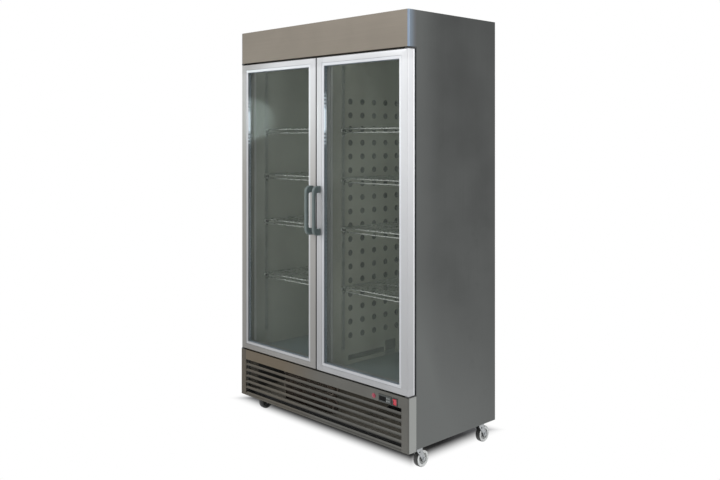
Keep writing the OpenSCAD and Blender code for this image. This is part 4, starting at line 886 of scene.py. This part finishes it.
class Form:
    """A mesh that is put together from bmesh shapes, in metres, in the frame of the solids."""

    def __init__(self, name: str) -> None:
        """Starts an empty form with the name of the piece that it becomes."""
        self.name = name
        self.mesh = bmesh.new()

    def add(self, shape: bmesh.types.BMesh, place: Matrix | None = None) -> "Form":
        """Takes a shape in.

        Args:
            shape: The shape, which is used up.
            place: Where it goes.

        Returns:
            The form.
        """
        bmesh.ops.remove_doubles(shape, verts=shape.verts, dist=1e-7)
        bmesh.ops.recalc_face_normals(shape, faces=shape.faces)
        if place is not None:
            bmesh.ops.transform(shape, matrix=place, verts=shape.verts)
        carrier = bpy.data.meshes.new("carrier")
        shape.to_mesh(carrier)
        shape.free()
        self.mesh.from_mesh(carrier)
        bpy.data.meshes.remove(carrier)
        return self

    def block(self, low: Sequence[float], high: Sequence[float], round_by: float = 0.0,
              steps: int = 2) -> "Form":
        """Adds a box between two corners, with rounded edges."""
        size, middle = Vector(high) - Vector(low), (Vector(high) + Vector(low)) / 2
        return self.add(rounded_box(size, middle, round_by, steps))

    def lathe(self, outline: Outline, at: Sequence[float], along: Along, steps: int = 40,
              closed: bool = False) -> "Form":
        """Adds a turned shape.

        Args:
            outline: Its points as radius and height along the axis.
            at: Where height 0 is.
            along: The axis.
            steps: The facets round the axis.
            closed: Whether the last point joins the first, as on a ring.

        Returns:
            The form.
        """
        shape = bmesh.new()
        corners = [shape.verts.new((radius, 0.0, height)) for radius, height in outline]
        rim = [shape.edges.new(pair) for pair in zip(corners, corners[1:])]
        if closed:
            rim.append(shape.edges.new((corners[-1], corners[0])))
        bmesh.ops.spin(shape, geom=corners + rim, cent=(0, 0, 0), axis=(0, 0, 1),
                       angle=2 * math.pi, steps=steps, use_merge=True, use_duplicate=False)
        return self.add(shape, Matrix.Translation(Vector(at)) @ along.turn())

    def prism(self, outline: Iterable[Sequence[float]], push: Sequence[float], round_by: float = 0.0,
              steps: int = 3) -> "Form":
        """Adds a flat outline pushed to a solid.

        Args:
            outline: Its corners in order, as points.
            push: How far and which way it is pushed.
            round_by: The radius of the edges of its two flat ends.
            steps: The segments of each rounded edge.

        Returns:
            The form.
        """
        shape = pushed(outline, push)
        if round_by:
            way = Vector(push).normalized()
            shape.normal_update()
            ends = [edge for edge in shape.edges
                    if abs((edge.verts[1].co - edge.verts[0].co).normalized().dot(way)) < 0.5]
            bmesh.ops.bevel(shape, geom=ends, offset=round_by, segments=steps,
                            profile=0.5, affect="EDGES", material=-1, clamp_overlap=True)
        return self.add(shape)

    def screw(self, at: Sequence[float], along: Along, head: float) -> "Form":
        """Adds a pan-head screw with a round socket, from its head's seat and radius."""
        outline = [(radius * head, height * head) for radius, height in SCREW_HEAD]
        return self.lathe(outline, at, along, 18)

    def finish(self, surface: Finish, body: str, soft: float = 0.0,
               replaces: Sequence[str] = ()) -> bpy.types.Object:
        """Makes the form a piece of the object.

        Args:
            surface: Its finish.
            body: The body that it moves with.
            soft: The width of a bevel on its sharp edges.
            replaces: The solids that it stands for.

        Returns:
            The piece.
        """
        data = bpy.data.meshes.new(self.name)
        self.mesh.to_mesh(data)
        self.mesh.free()
        piece = bpy.data.objects.new(self.name, data)
        bpy.context.scene.collection.objects.link(piece)
        data.materials.append(surface.material())
        if soft:
            edge = piece.modifiers.new("soft_edges", "BEVEL")
            edge.width = soft
            edge.segments = 2
            edge.limit_method = "ANGLE"
            edge.angle_limit = BEVEL_FROM
        data.shade_smooth()
        data.set_sharp_from_angle(angle=SHARP_FROM)
        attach(piece, body)
        if replaces:
            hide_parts(*replaces)
        LOG.info("%s: %d faces on %s", self.name, len(data.polygons), body)
        return piece


Finishes = Mapping[str, Finish]


class Assembly:
    """What the sub-assemblies share."""

    finishes: ClassVar[Finishes] = {}

    @property
    def ending(self) -> str:
        """What the names of its solids end with."""
        return ""

    def build(self) -> None:
        """Builds the pieces that the solids don't hold."""

    def dress(self, nodes: Mapping[str, bpy.types.Object]) -> None:
        """Puts each finish on its solid.

        Args:
            nodes: The solids by name.
        """
        for name, surface in self.finishes.items():
            slots = nodes[name + self.ending].data.materials
            slots.clear()
            slots.append(surface.material())
            LOG.info("%s: dressed in %s", name + self.ending, surface.name)


@dataclass
class Cabinet(Assembly):
    """Outer panels, insulation, front frame, hinges and the castors' plates."""

    finishes: ClassVar[Finishes] = {
        "side_panel_left": SIDE_STEEL, "side_panel_right": SIDE_STEEL, "top_panel": SIDE_STEEL,
        "bottom_panel": DUSTY_ZINC, "back_panel": ZINC, "insulation": FOAM,
        "front_frame": FRONT_TRIM, "hinge_brackets": ZINC, "castor_plates": ZINC}
    rivet: Outline = mm((3.8, 0), (3.8, 0.15), (2.9, 0.7), (1.4, 0.9), (1.2, 0.5), (0, 0.5))
    rivet_in: float = 18 * MM
    rivet_rows: int = 9
    plug: Outline = mm((7, 0), (7, 0.3), (6, 0.8), (0, 0.9))
    plug_x: float = 277.5 * MM
    plug_z: float = 320.5 * MM
    screw_r: float = 4.4 * MM
    screw_x: Span = (12.5 * MM, 37.5 * MM)
    screw_in: Span = (4 * MM, 14.3 * MM)

    def build(self) -> None:
        """Builds the rivets and plugs of the back and the screws of the hinges."""
        low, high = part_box("back_panel")
        rivets = Form("back_panel_rivets")
        for row, z in enumerate(spread(low.z + self.rivet_in, high.z - self.rivet_in, self.rivet_rows)):
            for x in (low.x + self.rivet_in, 0.0, high.x - self.rivet_in):
                if x or row in (0, self.rivet_rows - 1):
                    rivets.lathe(self.rivet, (x, high.y, z), Along.Y, 20)
        rivets.finish(ZINC, "cabinet")
        plugs = Form("foam_hole_plugs")
        for side in Side:
            plugs.lathe(self.plug, (side.value * self.plug_x, high.y, self.plug_z), Along.Y, 28)
        plugs.finish(BLACK, "cabinet")
        screws = Form("hinge_screws")
        low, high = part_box("hinge_brackets")
        sunk, inset = self.screw_in
        for side in Side:
            for z in (high.z - inset, low.z + inset):
                for x in self.screw_x:
                    screws.screw((side.value * (high.x - x), high.y - sunk, z), Along.FRONT, self.screw_r)
        screws.finish(ZINC, "cabinet")


@dataclass
class FrontCovers(Assembly):
    """Fascia above the doors and louvred cover below them."""

    finishes: ClassVar[Finishes] = {"fascia": FRONT_STEEL, "base_cover": BASE_STEEL}
    # A black strip of painted shade: it hides the floor seen through the lowest louvres.
    strip_half: float = 597 * MM
    strip_y: Span = (-280.9 * MM, -232.6 * MM)
    strip_z: Span = (98 * MM, 100 * MM)
    strip_r: float = 0.6 * MM
    lip_t: float = 2 * MM
    lip_top: float = 111 * MM
    cap_x: Span = (578 * MM, 598 * MM)
    cap_y: Span = (-280.5 * MM, -236 * MM)
    caps_z: Outline = mm((334.2, 339), (1832, 1839.8))
    cap_r: float = 0.8 * MM

    def build(self) -> None:
        """Builds a black strip of painted shade behind the cover's foot, and the caps over the hinges."""
        half, (front, rear), (foot, top) = self.strip_half, self.strip_y, self.strip_z
        # Painted shade: a black strip behind the cover's foot.
        strip = Form("dust_strip")
        strip.block((-half, front, foot), (half, rear, top), self.strip_r)
        strip.block((-half, rear - self.lip_t, top), (half, rear, self.lip_top), self.strip_r)
        strip.finish(BLACK, "cabinet")
        caps = Form("hinge_caps")
        for side in Side:
            near, far = sorted(side.value * reach for reach in self.cap_x)
            for low, high in self.caps_z:
                caps.block((near, self.cap_y[0], low), (far, self.cap_y[1], high), self.cap_r)
        caps.finish(BLACK, "cabinet")


@dataclass
class Controls(Assembly):
    """Pilot lamp, thermostat and power switch on the base cover."""

    finishes: ClassVar[Finishes] = {
        "thermostat_bezel": BEZEL, "thermostat_display": DISPLAY,
        "switch_bezel": BLACK, "switch_rocker": RED_ROCKER}
    seat: float = 4 * MM
    flange: Outline = mm((0, 0), (0, 1.4), (0.6, 1.9))
    dome_from: float = 2.0 * MM
    dome_h: float = 1.8 * MM
    dome_in: float = 1.5 * MM
    rings: int = 6
    ring: Span = (0.5 * MM, 0.25 * MM)
    barrel_in: float = 3 * MM
    barrel_l: float = 28 * MM
    key_r: float = 0.7 * MM
    mark: float = 1.6 * MM
    raise_by: float = 0.15 * MM
    dark_column: float = 14 * MM

    def build(self) -> None:
        """Builds the lens of the lamp, the keys and their signs."""
        self.build_lens()
        for number in range(1, 5):
            low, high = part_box(f"thermostat_button_{number}")
            key = Form(f"button_cap_{number}").block(low, high, self.key_r, 3)
            surface = DARK_BUTTON if low.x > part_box("thermostat_bezel")[1].x - self.dark_column else BUTTON
            key.finish(surface, f"button_{number}", replaces=[f"thermostat_button_{number}"])
            self.build_sign(number, (low + high) / 2, low.y)

    def build_lens(self) -> None:
        """Builds the ringed dome of the pilot lamp and the barrel behind it."""
        low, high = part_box("pilot_lamp")
        radius = (high.x - low.x) / 2
        at = ((low.x + high.x) / 2, low.y + self.seat, (low.z + high.z) / 2)
        dome = [(radius - inset, rise) for inset, rise in self.flange]
        for ring in range(self.rings):
            share = 1 - ring / self.rings
            out = (radius - self.dome_in) * share
            rise = self.dome_from + self.dome_h * (1 - share ** 2)
            dome += [(out, rise - self.ring[1]), (out - self.ring[0], rise)]
        dome.append((0.0, self.dome_from + self.dome_h))
        barrel_r = radius - self.barrel_in
        barrel = [(barrel_r, 0.2 * MM), (barrel_r, -self.barrel_l), (0.0, -self.barrel_l)]
        lens = Form("pilot_lamp_lens").lathe(dome, at, Along.FRONT, 36).lathe(barrel, at, Along.FRONT, 28)
        lens.finish(RED_LENS, "cabinet", replaces=["pilot_lamp"])

    def build_sign(self, number: int, middle: Vector, face_y: float) -> None:
        """Builds the plain printed sign of one thermostat button.

        Args:
            number: The button's number.
            middle: The button's middle.
            face_y: The depth of its face.
        """
        sign = Form(f"button_sign_{number}")
        size, thick = self.mark, self.raise_by
        x, y, z = middle.x, face_y + thick / 2, middle.z
        if number in (2, 4):
            tip = size if number == 2 else -size
            sign.prism([(x - size, y, z - tip * 0.6), (x + size, y, z - tip * 0.6), (x, y, z + tip)],
                       (0, -thick, 0))
        elif number == 1:
            ring = [(size, 0), (size, thick), (size * 0.6, thick), (size * 0.6, 0)]
            sign.lathe(ring, (x, y, z), Along.FRONT, 24, True)
        else:
            sign.block((x - size, y - thick, z - size * 0.3), (x + size, y, z + size * 0.3))
        sign.finish(MARKING, f"button_{number}")


@dataclass
class Door(Assembly):
    """One glass door with its frame members, glazing, seal and handle."""

    finishes: ClassVar[Finishes] = {
        "door_glass": GLASS, "door_spacer": SPACER, "door_gasket": SEAL}
    side: Side
    stile: float = 52 * MM
    rail: float = 41 * MM
    depth: float = 43 * MM
    edge_r: float = 5 * MM
    soft_edge: float = 0.25 * MM
    bead: float = 13 * MM
    bead_edge: Outline = mm((1.2, 0), (0.3, 0.9))
    bead_in: float = 3.4 * MM
    bead_r: float = 2.2 * MM
    hairline: float = 0.7 * MM
    mitre_gap: float = 0.05 * MM
    glass_y: float = 5 * MM
    groove: float = 20.6 * MM
    grip: float = 10.3 * MM
    outer_r: float = 28 * MM
    inner_r: float = 16 * MM
    grip_t: float = 14 * MM
    foot_h: float = 33 * MM
    soft_r: float = 5.5 * MM
    cap: Outline = mm((4.2, 0), (4.2, 1.0), (3.4, 1.5), (0, 1.7))
    cap_in: float = 1.8 * MM

    @property
    def ending(self) -> str:
        """What the names of its solids end with."""
        return f"_{self.side.word}"

    @property
    def body(self) -> str:
        """The body that the door is."""
        return f"door_{self.side.word}"

    def section(self, width: float) -> Outline:
        """Works out the section of a frame member without its glazing bead.

        Args:
            width: The member's width.

        Returns:
            Its corners as depth and distance inwards.
        """
        face = width - self.bead - self.hairline
        behind = self.glass_y + self.groove
        edge = arc((self.edge_r, self.edge_r), self.edge_r, 270, 180)
        return [
            (self.depth, 0.0), *edge, (0.0, face), (self.glass_y, face), (self.glass_y, width - self.grip),
            (behind, width - self.grip), (behind, width), (self.depth, width)]

    def bead_section(self, width: float) -> Outline:
        """Works out the section of a glazing bead.

        Args:
            width: The width of its frame member.

        Returns:
            Its corners as depth and distance inwards.
        """
        face = width - self.bead
        edge = [(y, face + u) for y, u in self.bead_edge]
        nose = arc((self.bead_in, width - self.bead_r), self.bead_r, 180, 90, 4)
        return [(self.glass_y, face), *edge, *nose, (self.glass_y, width)]

    def member(self, section: Outline, length: float, width: float, beside: float) -> bmesh.types.BMesh:
        """Builds a bar with mitred ends, lying along +X with its inner side towards +Z.

        Args:
            section: Its section as depth and distance inwards.
            length: Its length.
            width: The width of the frame member.
            beside: The width of the members that it meets.

        Returns:
            The bar.
        """
        shape = pushed([(0.0, y, u) for y, u in section], (length, 0, 0))
        for at, out in ((self.mitre_gap, -width), (length - self.mitre_gap, width)):
            cut = bmesh.ops.bisect_plane(
                shape, geom=shape.verts[:] + shape.edges[:] + shape.faces[:], dist=1e-7,
                plane_co=(at, 0, 0), plane_no=(out, 0, beside), clear_outer=True)
            rim = [item for item in cut["geom_cut"] if isinstance(item, bmesh.types.BMEdge)]
            bmesh.ops.contextual_create(shape, geom=rim)
        return shape

    def build(self) -> None:
        """Builds the frame members, the glazing beads and the handle."""
        node = f"door_frame{self.ending}"
        low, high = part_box(node)
        frame = Form(f"frame_members{self.ending}")
        beads = Form(f"glazing_beads{self.ending}")
        corners = [(low.x, low.z), (high.x, low.z), (high.x, high.z), (low.x, high.z)]
        flat = (high.x - low.x, self.rail, self.stile)
        upright = (high.z - low.z, self.stile, self.rail)
        for quarter, (x, z) in enumerate(corners):
            length, width, beside = upright if quarter % 2 else flat
            place = Matrix.Translation((x, low.y, z)) @ Matrix.Rotation(math.radians(-90 * quarter), 4, "Y")
            frame.add(self.member(self.section(width), length, width, beside), place)
            beads.add(self.member(self.bead_section(width), length, width, beside), place)
        frame.finish(FRAME_COAT, self.body, self.soft_edge, [node])
        beads.finish(BEAD_HIGHLIGHT_COAT, self.body)
        self.build_handle()

    def bow(self, reach: float, half: float, radius: float) -> Outline:
        """Works out one edge of the handle seen from the side, from its upper end to its lower."""
        upper = arc((radius - reach, half - radius), radius, 90, 180)
        return [(0.0, half), *upper, *((y, -z) for y, z in reversed(upper)), (0.0, -half)]

    def build_handle(self) -> None:
        """Builds the moulded handle and the caps on its ends."""
        node = f"door_handle{self.ending}"
        low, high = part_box(node)
        middle = (low + high) / 2
        reach, half = high.y - low.y, (high.z - low.z) / 2
        inside = half - self.foot_h
        outer = self.bow(reach, half, self.outer_r)
        inner = self.bow(reach - self.grip_t, inside, self.inner_r)
        grip = Form(f"handle_grip{self.ending}")
        grip.prism([(low.x, high.y + y, middle.z + z) for y, z in (*outer, *reversed(inner))],
                   (high.x - low.x, 0, 0), self.soft_r, 5)
        grip.finish(HANDLE, self.body, replaces=[node])
        caps = Form(f"handle_caps{self.ending}")
        for z in (middle.z - inside, middle.z + inside):
            caps.lathe(self.cap, (middle.x, low.y + self.cap_in, z), Along.FRONT, 24)
        caps.finish(HANDLE, self.body)


@dataclass
class Interior(Assembly):
    """Liner, air duct, shelves and lamps."""

    finishes: ClassVar[Finishes] = {
        "liner_walls": LINER, "liner_ceiling": LINER, "liner_floor": LINER_FLOOR, "air_duct": DUCT,
        "shelf_standards": STANDARD, "shelf_clips": BLACK, "shelves_left": WIRE,
        "shelves_right": WIRE, "interior_lamps": TUBE, "evaporator_coil": FINS,
        "evaporator_fan_housing": BLACK, "evaporator_fan_rotor": FAN_PLASTIC}
    screw_rows: int = 7
    screw_in: Span = (12 * MM, 40 * MM)
    screw_r: float = 3.5 * MM
    # A black sheet of painted shade inside the duct, which darkens what its holes show.
    baffle_t: float = 0.5 * MM
    baffle_in: float = 3 * MM

    def build(self) -> None:
        """Builds the duct's screws and a black sheet of painted shade that parts its two sides."""
        low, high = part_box("air_duct")
        screws = Form("duct_screws")
        inset_y, inset_z = self.screw_in
        for side in Side:
            way = Along.X if side is Side.RIGHT else Along.LEFT
            for z in spread(low.z + inset_z, high.z - inset_z, self.screw_rows):
                for y in (low.y + inset_y, high.y - inset_y):
                    screws.screw((side.value * high.x, y, z), way, self.screw_r)
        screws.finish(STANDARD, "cabinet")
        inset = Vector((0, self.baffle_in, self.baffle_in))
        # Painted shade: a black sheet inside the duct.
        duct_shade = Form("duct_baffle")
        duct_shade.block((-self.baffle_t, *(low + inset).yz), (self.baffle_t, *(high - inset).yz))
        duct_shade.finish(BLACK, "cabinet")


@dataclass
class Machinery(Assembly):
    """Refrigeration set on the chassis."""

    finishes: ClassVar[Finishes] = {
        "compressor": ENAMEL, "compressor_mounts": RUBBER, "condenser_coil": COIL,
        "condenser_shroud": DUSTY_ZINC, "condenser_fan_rotor": FAN_PLASTIC, "refrigerant_pipes": COPPER,
        "drip_tray": BLACK, "chassis": DUSTY_ZINC, "rear_grille": ZINC, "cable_gland": BLACK}
    # Black sheets of painted shade over the grille's slots and the deck's vents, which hide the floor seen
    # through them.
    gauze_half: float = 512 * MM
    gauze_in: float = 12 * MM
    gauze_t: float = 0.8 * MM
    vent_x: float = 168 * MM
    vent_half: float = 66 * MM
    vent_y: Span = (-90 * MM, 56 * MM)
    deck_z: float = 104 * MM
    screw_half: float = 560 * MM
    screw_count: int = 5
    screw_in: Span = (1 * MM, 12 * MM)
    screw_r: float = 3.6 * MM

    def build(self) -> None:
        """Builds the screws of the rear grille and the black sheets of painted shade over its slots and the
        deck's.
        """
        low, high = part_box("rear_grille")
        # Painted shade: black sheets over the grille's slots and the deck's vents.
        vent_shade = Form("grille_gauze")
        vent_shade.block((-self.gauze_half, low.y - 2 * self.gauze_t, low.z + self.gauze_in),
                    (self.gauze_half, low.y - self.gauze_t, high.z - self.gauze_in))
        for side in Side:
            middle = side.value * self.vent_x
            vent_shade.block((middle - self.vent_half, self.vent_y[0], self.deck_z - 1.2 * self.gauze_t),
                        (middle + self.vent_half, self.vent_y[1], self.deck_z - 0.2 * self.gauze_t))
        vent_shade.finish(BLACK, "cabinet")
        screws = Form("grille_screws")
        for x in spread(-self.screw_half, self.screw_half, self.screw_count):
            screws.screw((x, low.y + self.screw_in[0], high.z - self.screw_in[1]), Along.Y, self.screw_r)
        screws.finish(ZINC, "cabinet")


@dataclass
class Castor(Assembly):
    """One swivel castor with a nylon wheel."""

    finishes: ClassVar[Finishes] = {"castor_fork": ZINC}
    corner: Corner
    half_section: Outline = mm(
        (4.05, 14), (10.5, 14), (11.5, 13), (12.5, 6.5), (22, 6), (24, 8), (25, 12.2), (27, 13),
        (33.5, 13), (36.3, 11.4), (37.5, 8))
    ribs: int = 8
    rib: Point = (5 * MM, 2.2 * MM, 13 * MM)
    rib_x: float = 8.4 * MM
    rib_up: float = 18 * MM
    rib_r: float = 0.5 * MM
    trail: float = 28 * MM
    bolt: Outline = mm((5.5, 0), (5.5, 3.2), (4.8, 3.8), (0, 3.8))
    bolt_at: Point = (23 * MM, 22 * MM, 101.5 * MM)
    bolt_edge: float = 0.3 * MM

    @property
    def ending(self) -> str:
        """What the names of its solids end with."""
        return f"_{self.corner.word}"

    def build(self) -> None:
        """Builds the wheel with its rim, web, ribs and bearing covers, and the plate's bolts."""
        node = f"castor_wheel{self.ending}"
        low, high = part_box(node)
        at = (low + high) / 2
        wheel = Form(f"wheel{self.ending}")
        other = [(radius, -height) for radius, height in reversed(self.half_section)]
        wheel.lathe([*self.half_section, *other], at, Along.X, 56, True)
        for number in range(self.ribs):
            place = Matrix.Translation(at) @ Matrix.Rotation(2 * math.pi * number / self.ribs, 4, "X")
            for face in (-1, 1):
                wheel.add(rounded_box(self.rib, (face * self.rib_x, 0, self.rib_up), self.rib_r), place)
        wheel.finish(NYLON, f"wheel{self.ending}", replaces=[node])
        bolts = Form(f"castor_bolts{self.ending}")
        out, back, top = self.bolt_at
        for x in (at.x - out, at.x + out):
            for y in (at.y - self.trail - back, at.y - self.trail + back):
                bolts.lathe(self.bolt, (x, y, top), Along.DOWN, 6)
        bolts.finish(ZINC, "cabinet", self.bolt_edge)


@dataclass(frozen=True)
class Lamp:
    """A soft lamp that points at the object. It is round, unless it has a height."""

    name: str
    at: Point
    size: float
    power: float
    tint: Colour = (1, 1, 1)
    aim: Point = (0, 0, 1)
    tall: float = 0.0

    def build(self) -> None:
        """Hangs the lamp, which the camera doesn't see."""
        light = bpy.data.lights.new(self.name, "AREA")
        light.shape = "RECTANGLE" if self.tall else "DISK"
        light.size = self.size
        light.size_y = self.tall or self.size
        light.energy = self.power
        light.color = self.tint
        lamp = bpy.data.objects.new(self.name, light)
        lamp.location = self.at
        lamp.rotation_euler = (Vector(self.aim) - Vector(self.at)).to_track_quat("-Z", "Y").to_euler()
        lamp.visible_camera = False
        bpy.context.scene.collection.objects.link(lamp)


@dataclass
class Studio:
    """Camera, lights, floor and background."""

    picture_w: int = 720
    picture_h: int = 480
    focal_px: float = 831.4
    horizon_px: float = 138.66
    turn: float = 45.89
    place: Point = (3.0018, -2.8988, 1.4444)
    sensor: float = 36.0
    sky: Colour = (0.97, 0.98, 1.0)
    sky_light: float = 0.55
    floor_half: float = 30.0
    pale: Colour = (0.93, 0.93, 0.93)
    shadow: Colour = (0.15, 0.15, 0.155)
    shadow_at: Span = (-0.145, 0.15)
    shadow_half: Span = (0.62, 0.28)
    shadow_edge: Span = (-0.04, 0.08)
    lamps: tuple[Lamp, ...] = (
        Lamp("key_light", (-2.2, -4.2, 4.4), size=2.7, power=95.0),
        Lamp("side_light", (4.6, 0.6, 2.6), size=2.0, power=45.0),
        Lamp("back_light", (-1.0, 4.5, 3.4), size=2.2, power=50.0),
        Lamp("window_light", (-3.18, -2.25, 1.62), size=0.38, power=3.0, tint=(0.82, 1.0, 0.95)),
        Lamp("machine_light", (0, 0.02, 0.294), size=1.15, power=0.35, tint=(1.0, 0.96, 0.90),
             aim=(0, 0.02, 0), tall=0.48))

    def camera(self) -> None:
        """Makes the camera that stands where the photograph was taken."""
        lens = bpy.data.cameras.new("camera")
        lens.sensor_width = self.sensor
        lens.lens = self.focal_px / self.picture_w * self.sensor
        lens.shift_y = (self.horizon_px - self.picture_h / 2) / self.picture_w
        lens.clip_end = 100.0
        camera = bpy.data.objects.new("camera", lens)
        camera.location = self.place
        camera.rotation_euler = (math.radians(90), 0, math.radians(self.turn))
        bpy.context.scene.collection.objects.link(camera)
        bpy.context.scene.camera = camera

    def background(self) -> None:
        """Makes the world: white where it is seen, and a plain soft light elsewhere."""
        world = bpy.data.worlds.new("studio")
        bpy.context.scene.world = world
        kit = NodeKit(world, "ShaderNodeOutputWorld")
        soft, white = (
            kit.wire(kit.node("ShaderNodeBackground", {}, {"Color": (*colour, 1), "Strength": strength}))
            for colour, strength in ((self.sky, self.sky_light), ((1, 1, 1), 1.0)))
        kit.end(kit.node("ShaderNodeMixShader", {}, {0: kit.seen(), 1: soft, 2: white}))

    def floor(self) -> None:
        """Makes the pale floor, which keeps the object's shadow, with a painted shadow under the object that
        reaches out to its left and back.
        """
        shape = bmesh.new()
        bmesh.ops.create_grid(shape, x_segments=1, y_segments=1, size=self.floor_half)
        data = bpy.data.meshes.new("floor")
        shape.to_mesh(data)
        shape.free()
        floor = bpy.data.objects.new("floor", data)
        bpy.context.scene.collection.objects.link(floor)
        kit = ShaderKit("pale_floor")
        # Painted shadow: the floor is dark inside a zone round the object's foot and pale outside it.
        beside = kit.sum("MAXIMUM", kit.x.distance(self.shadow_at[0]) - self.shadow_half[0],
                         kit.y.distance(self.shadow_at[1]) - self.shadow_half[1]).ramp(*self.shadow_edge)
        matte = kit.node("ShaderNodeBsdfDiffuse", {}, {"Color": kit.blend(beside, self.shadow, self.pale)})
        glow = kit.node("ShaderNodeEmission", {}, {"Color": (1, 1, 1, 1), "Strength": 1.0})
        kit.end(kit.node("ShaderNodeMixShader", {}, {
            0: kit.seen() * beside, 1: kit.wire(matte), 2: kit.wire(glow)}))
        data.materials.append(kit.material)

    def build(self) -> None:
        """Makes everything round the object."""
        self.camera()
        self.background()
        self.floor()
        for lamp in self.lamps:
            lamp.build()
        bpy.context.scene.view_settings.view_transform = "Standard"


def main() -> None:
    """Builds the refrigerator's looks and the studio round it."""
    logging.basicConfig(level=logging.INFO, format="%(name)s: %(message)s")
    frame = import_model()
    Studio().build()
    assemblies: list[Assembly] = [
        Cabinet(), FrontCovers(), Controls(), Door(Side.LEFT), Door(Side.RIGHT), Interior(),
        Machinery(), *(Castor(corner) for corner in Corner)]
    for assembly in assemblies:
        assembly.build()
        assembly.dress(frame["nodes"])


if __name__ == "__main__":
    main()
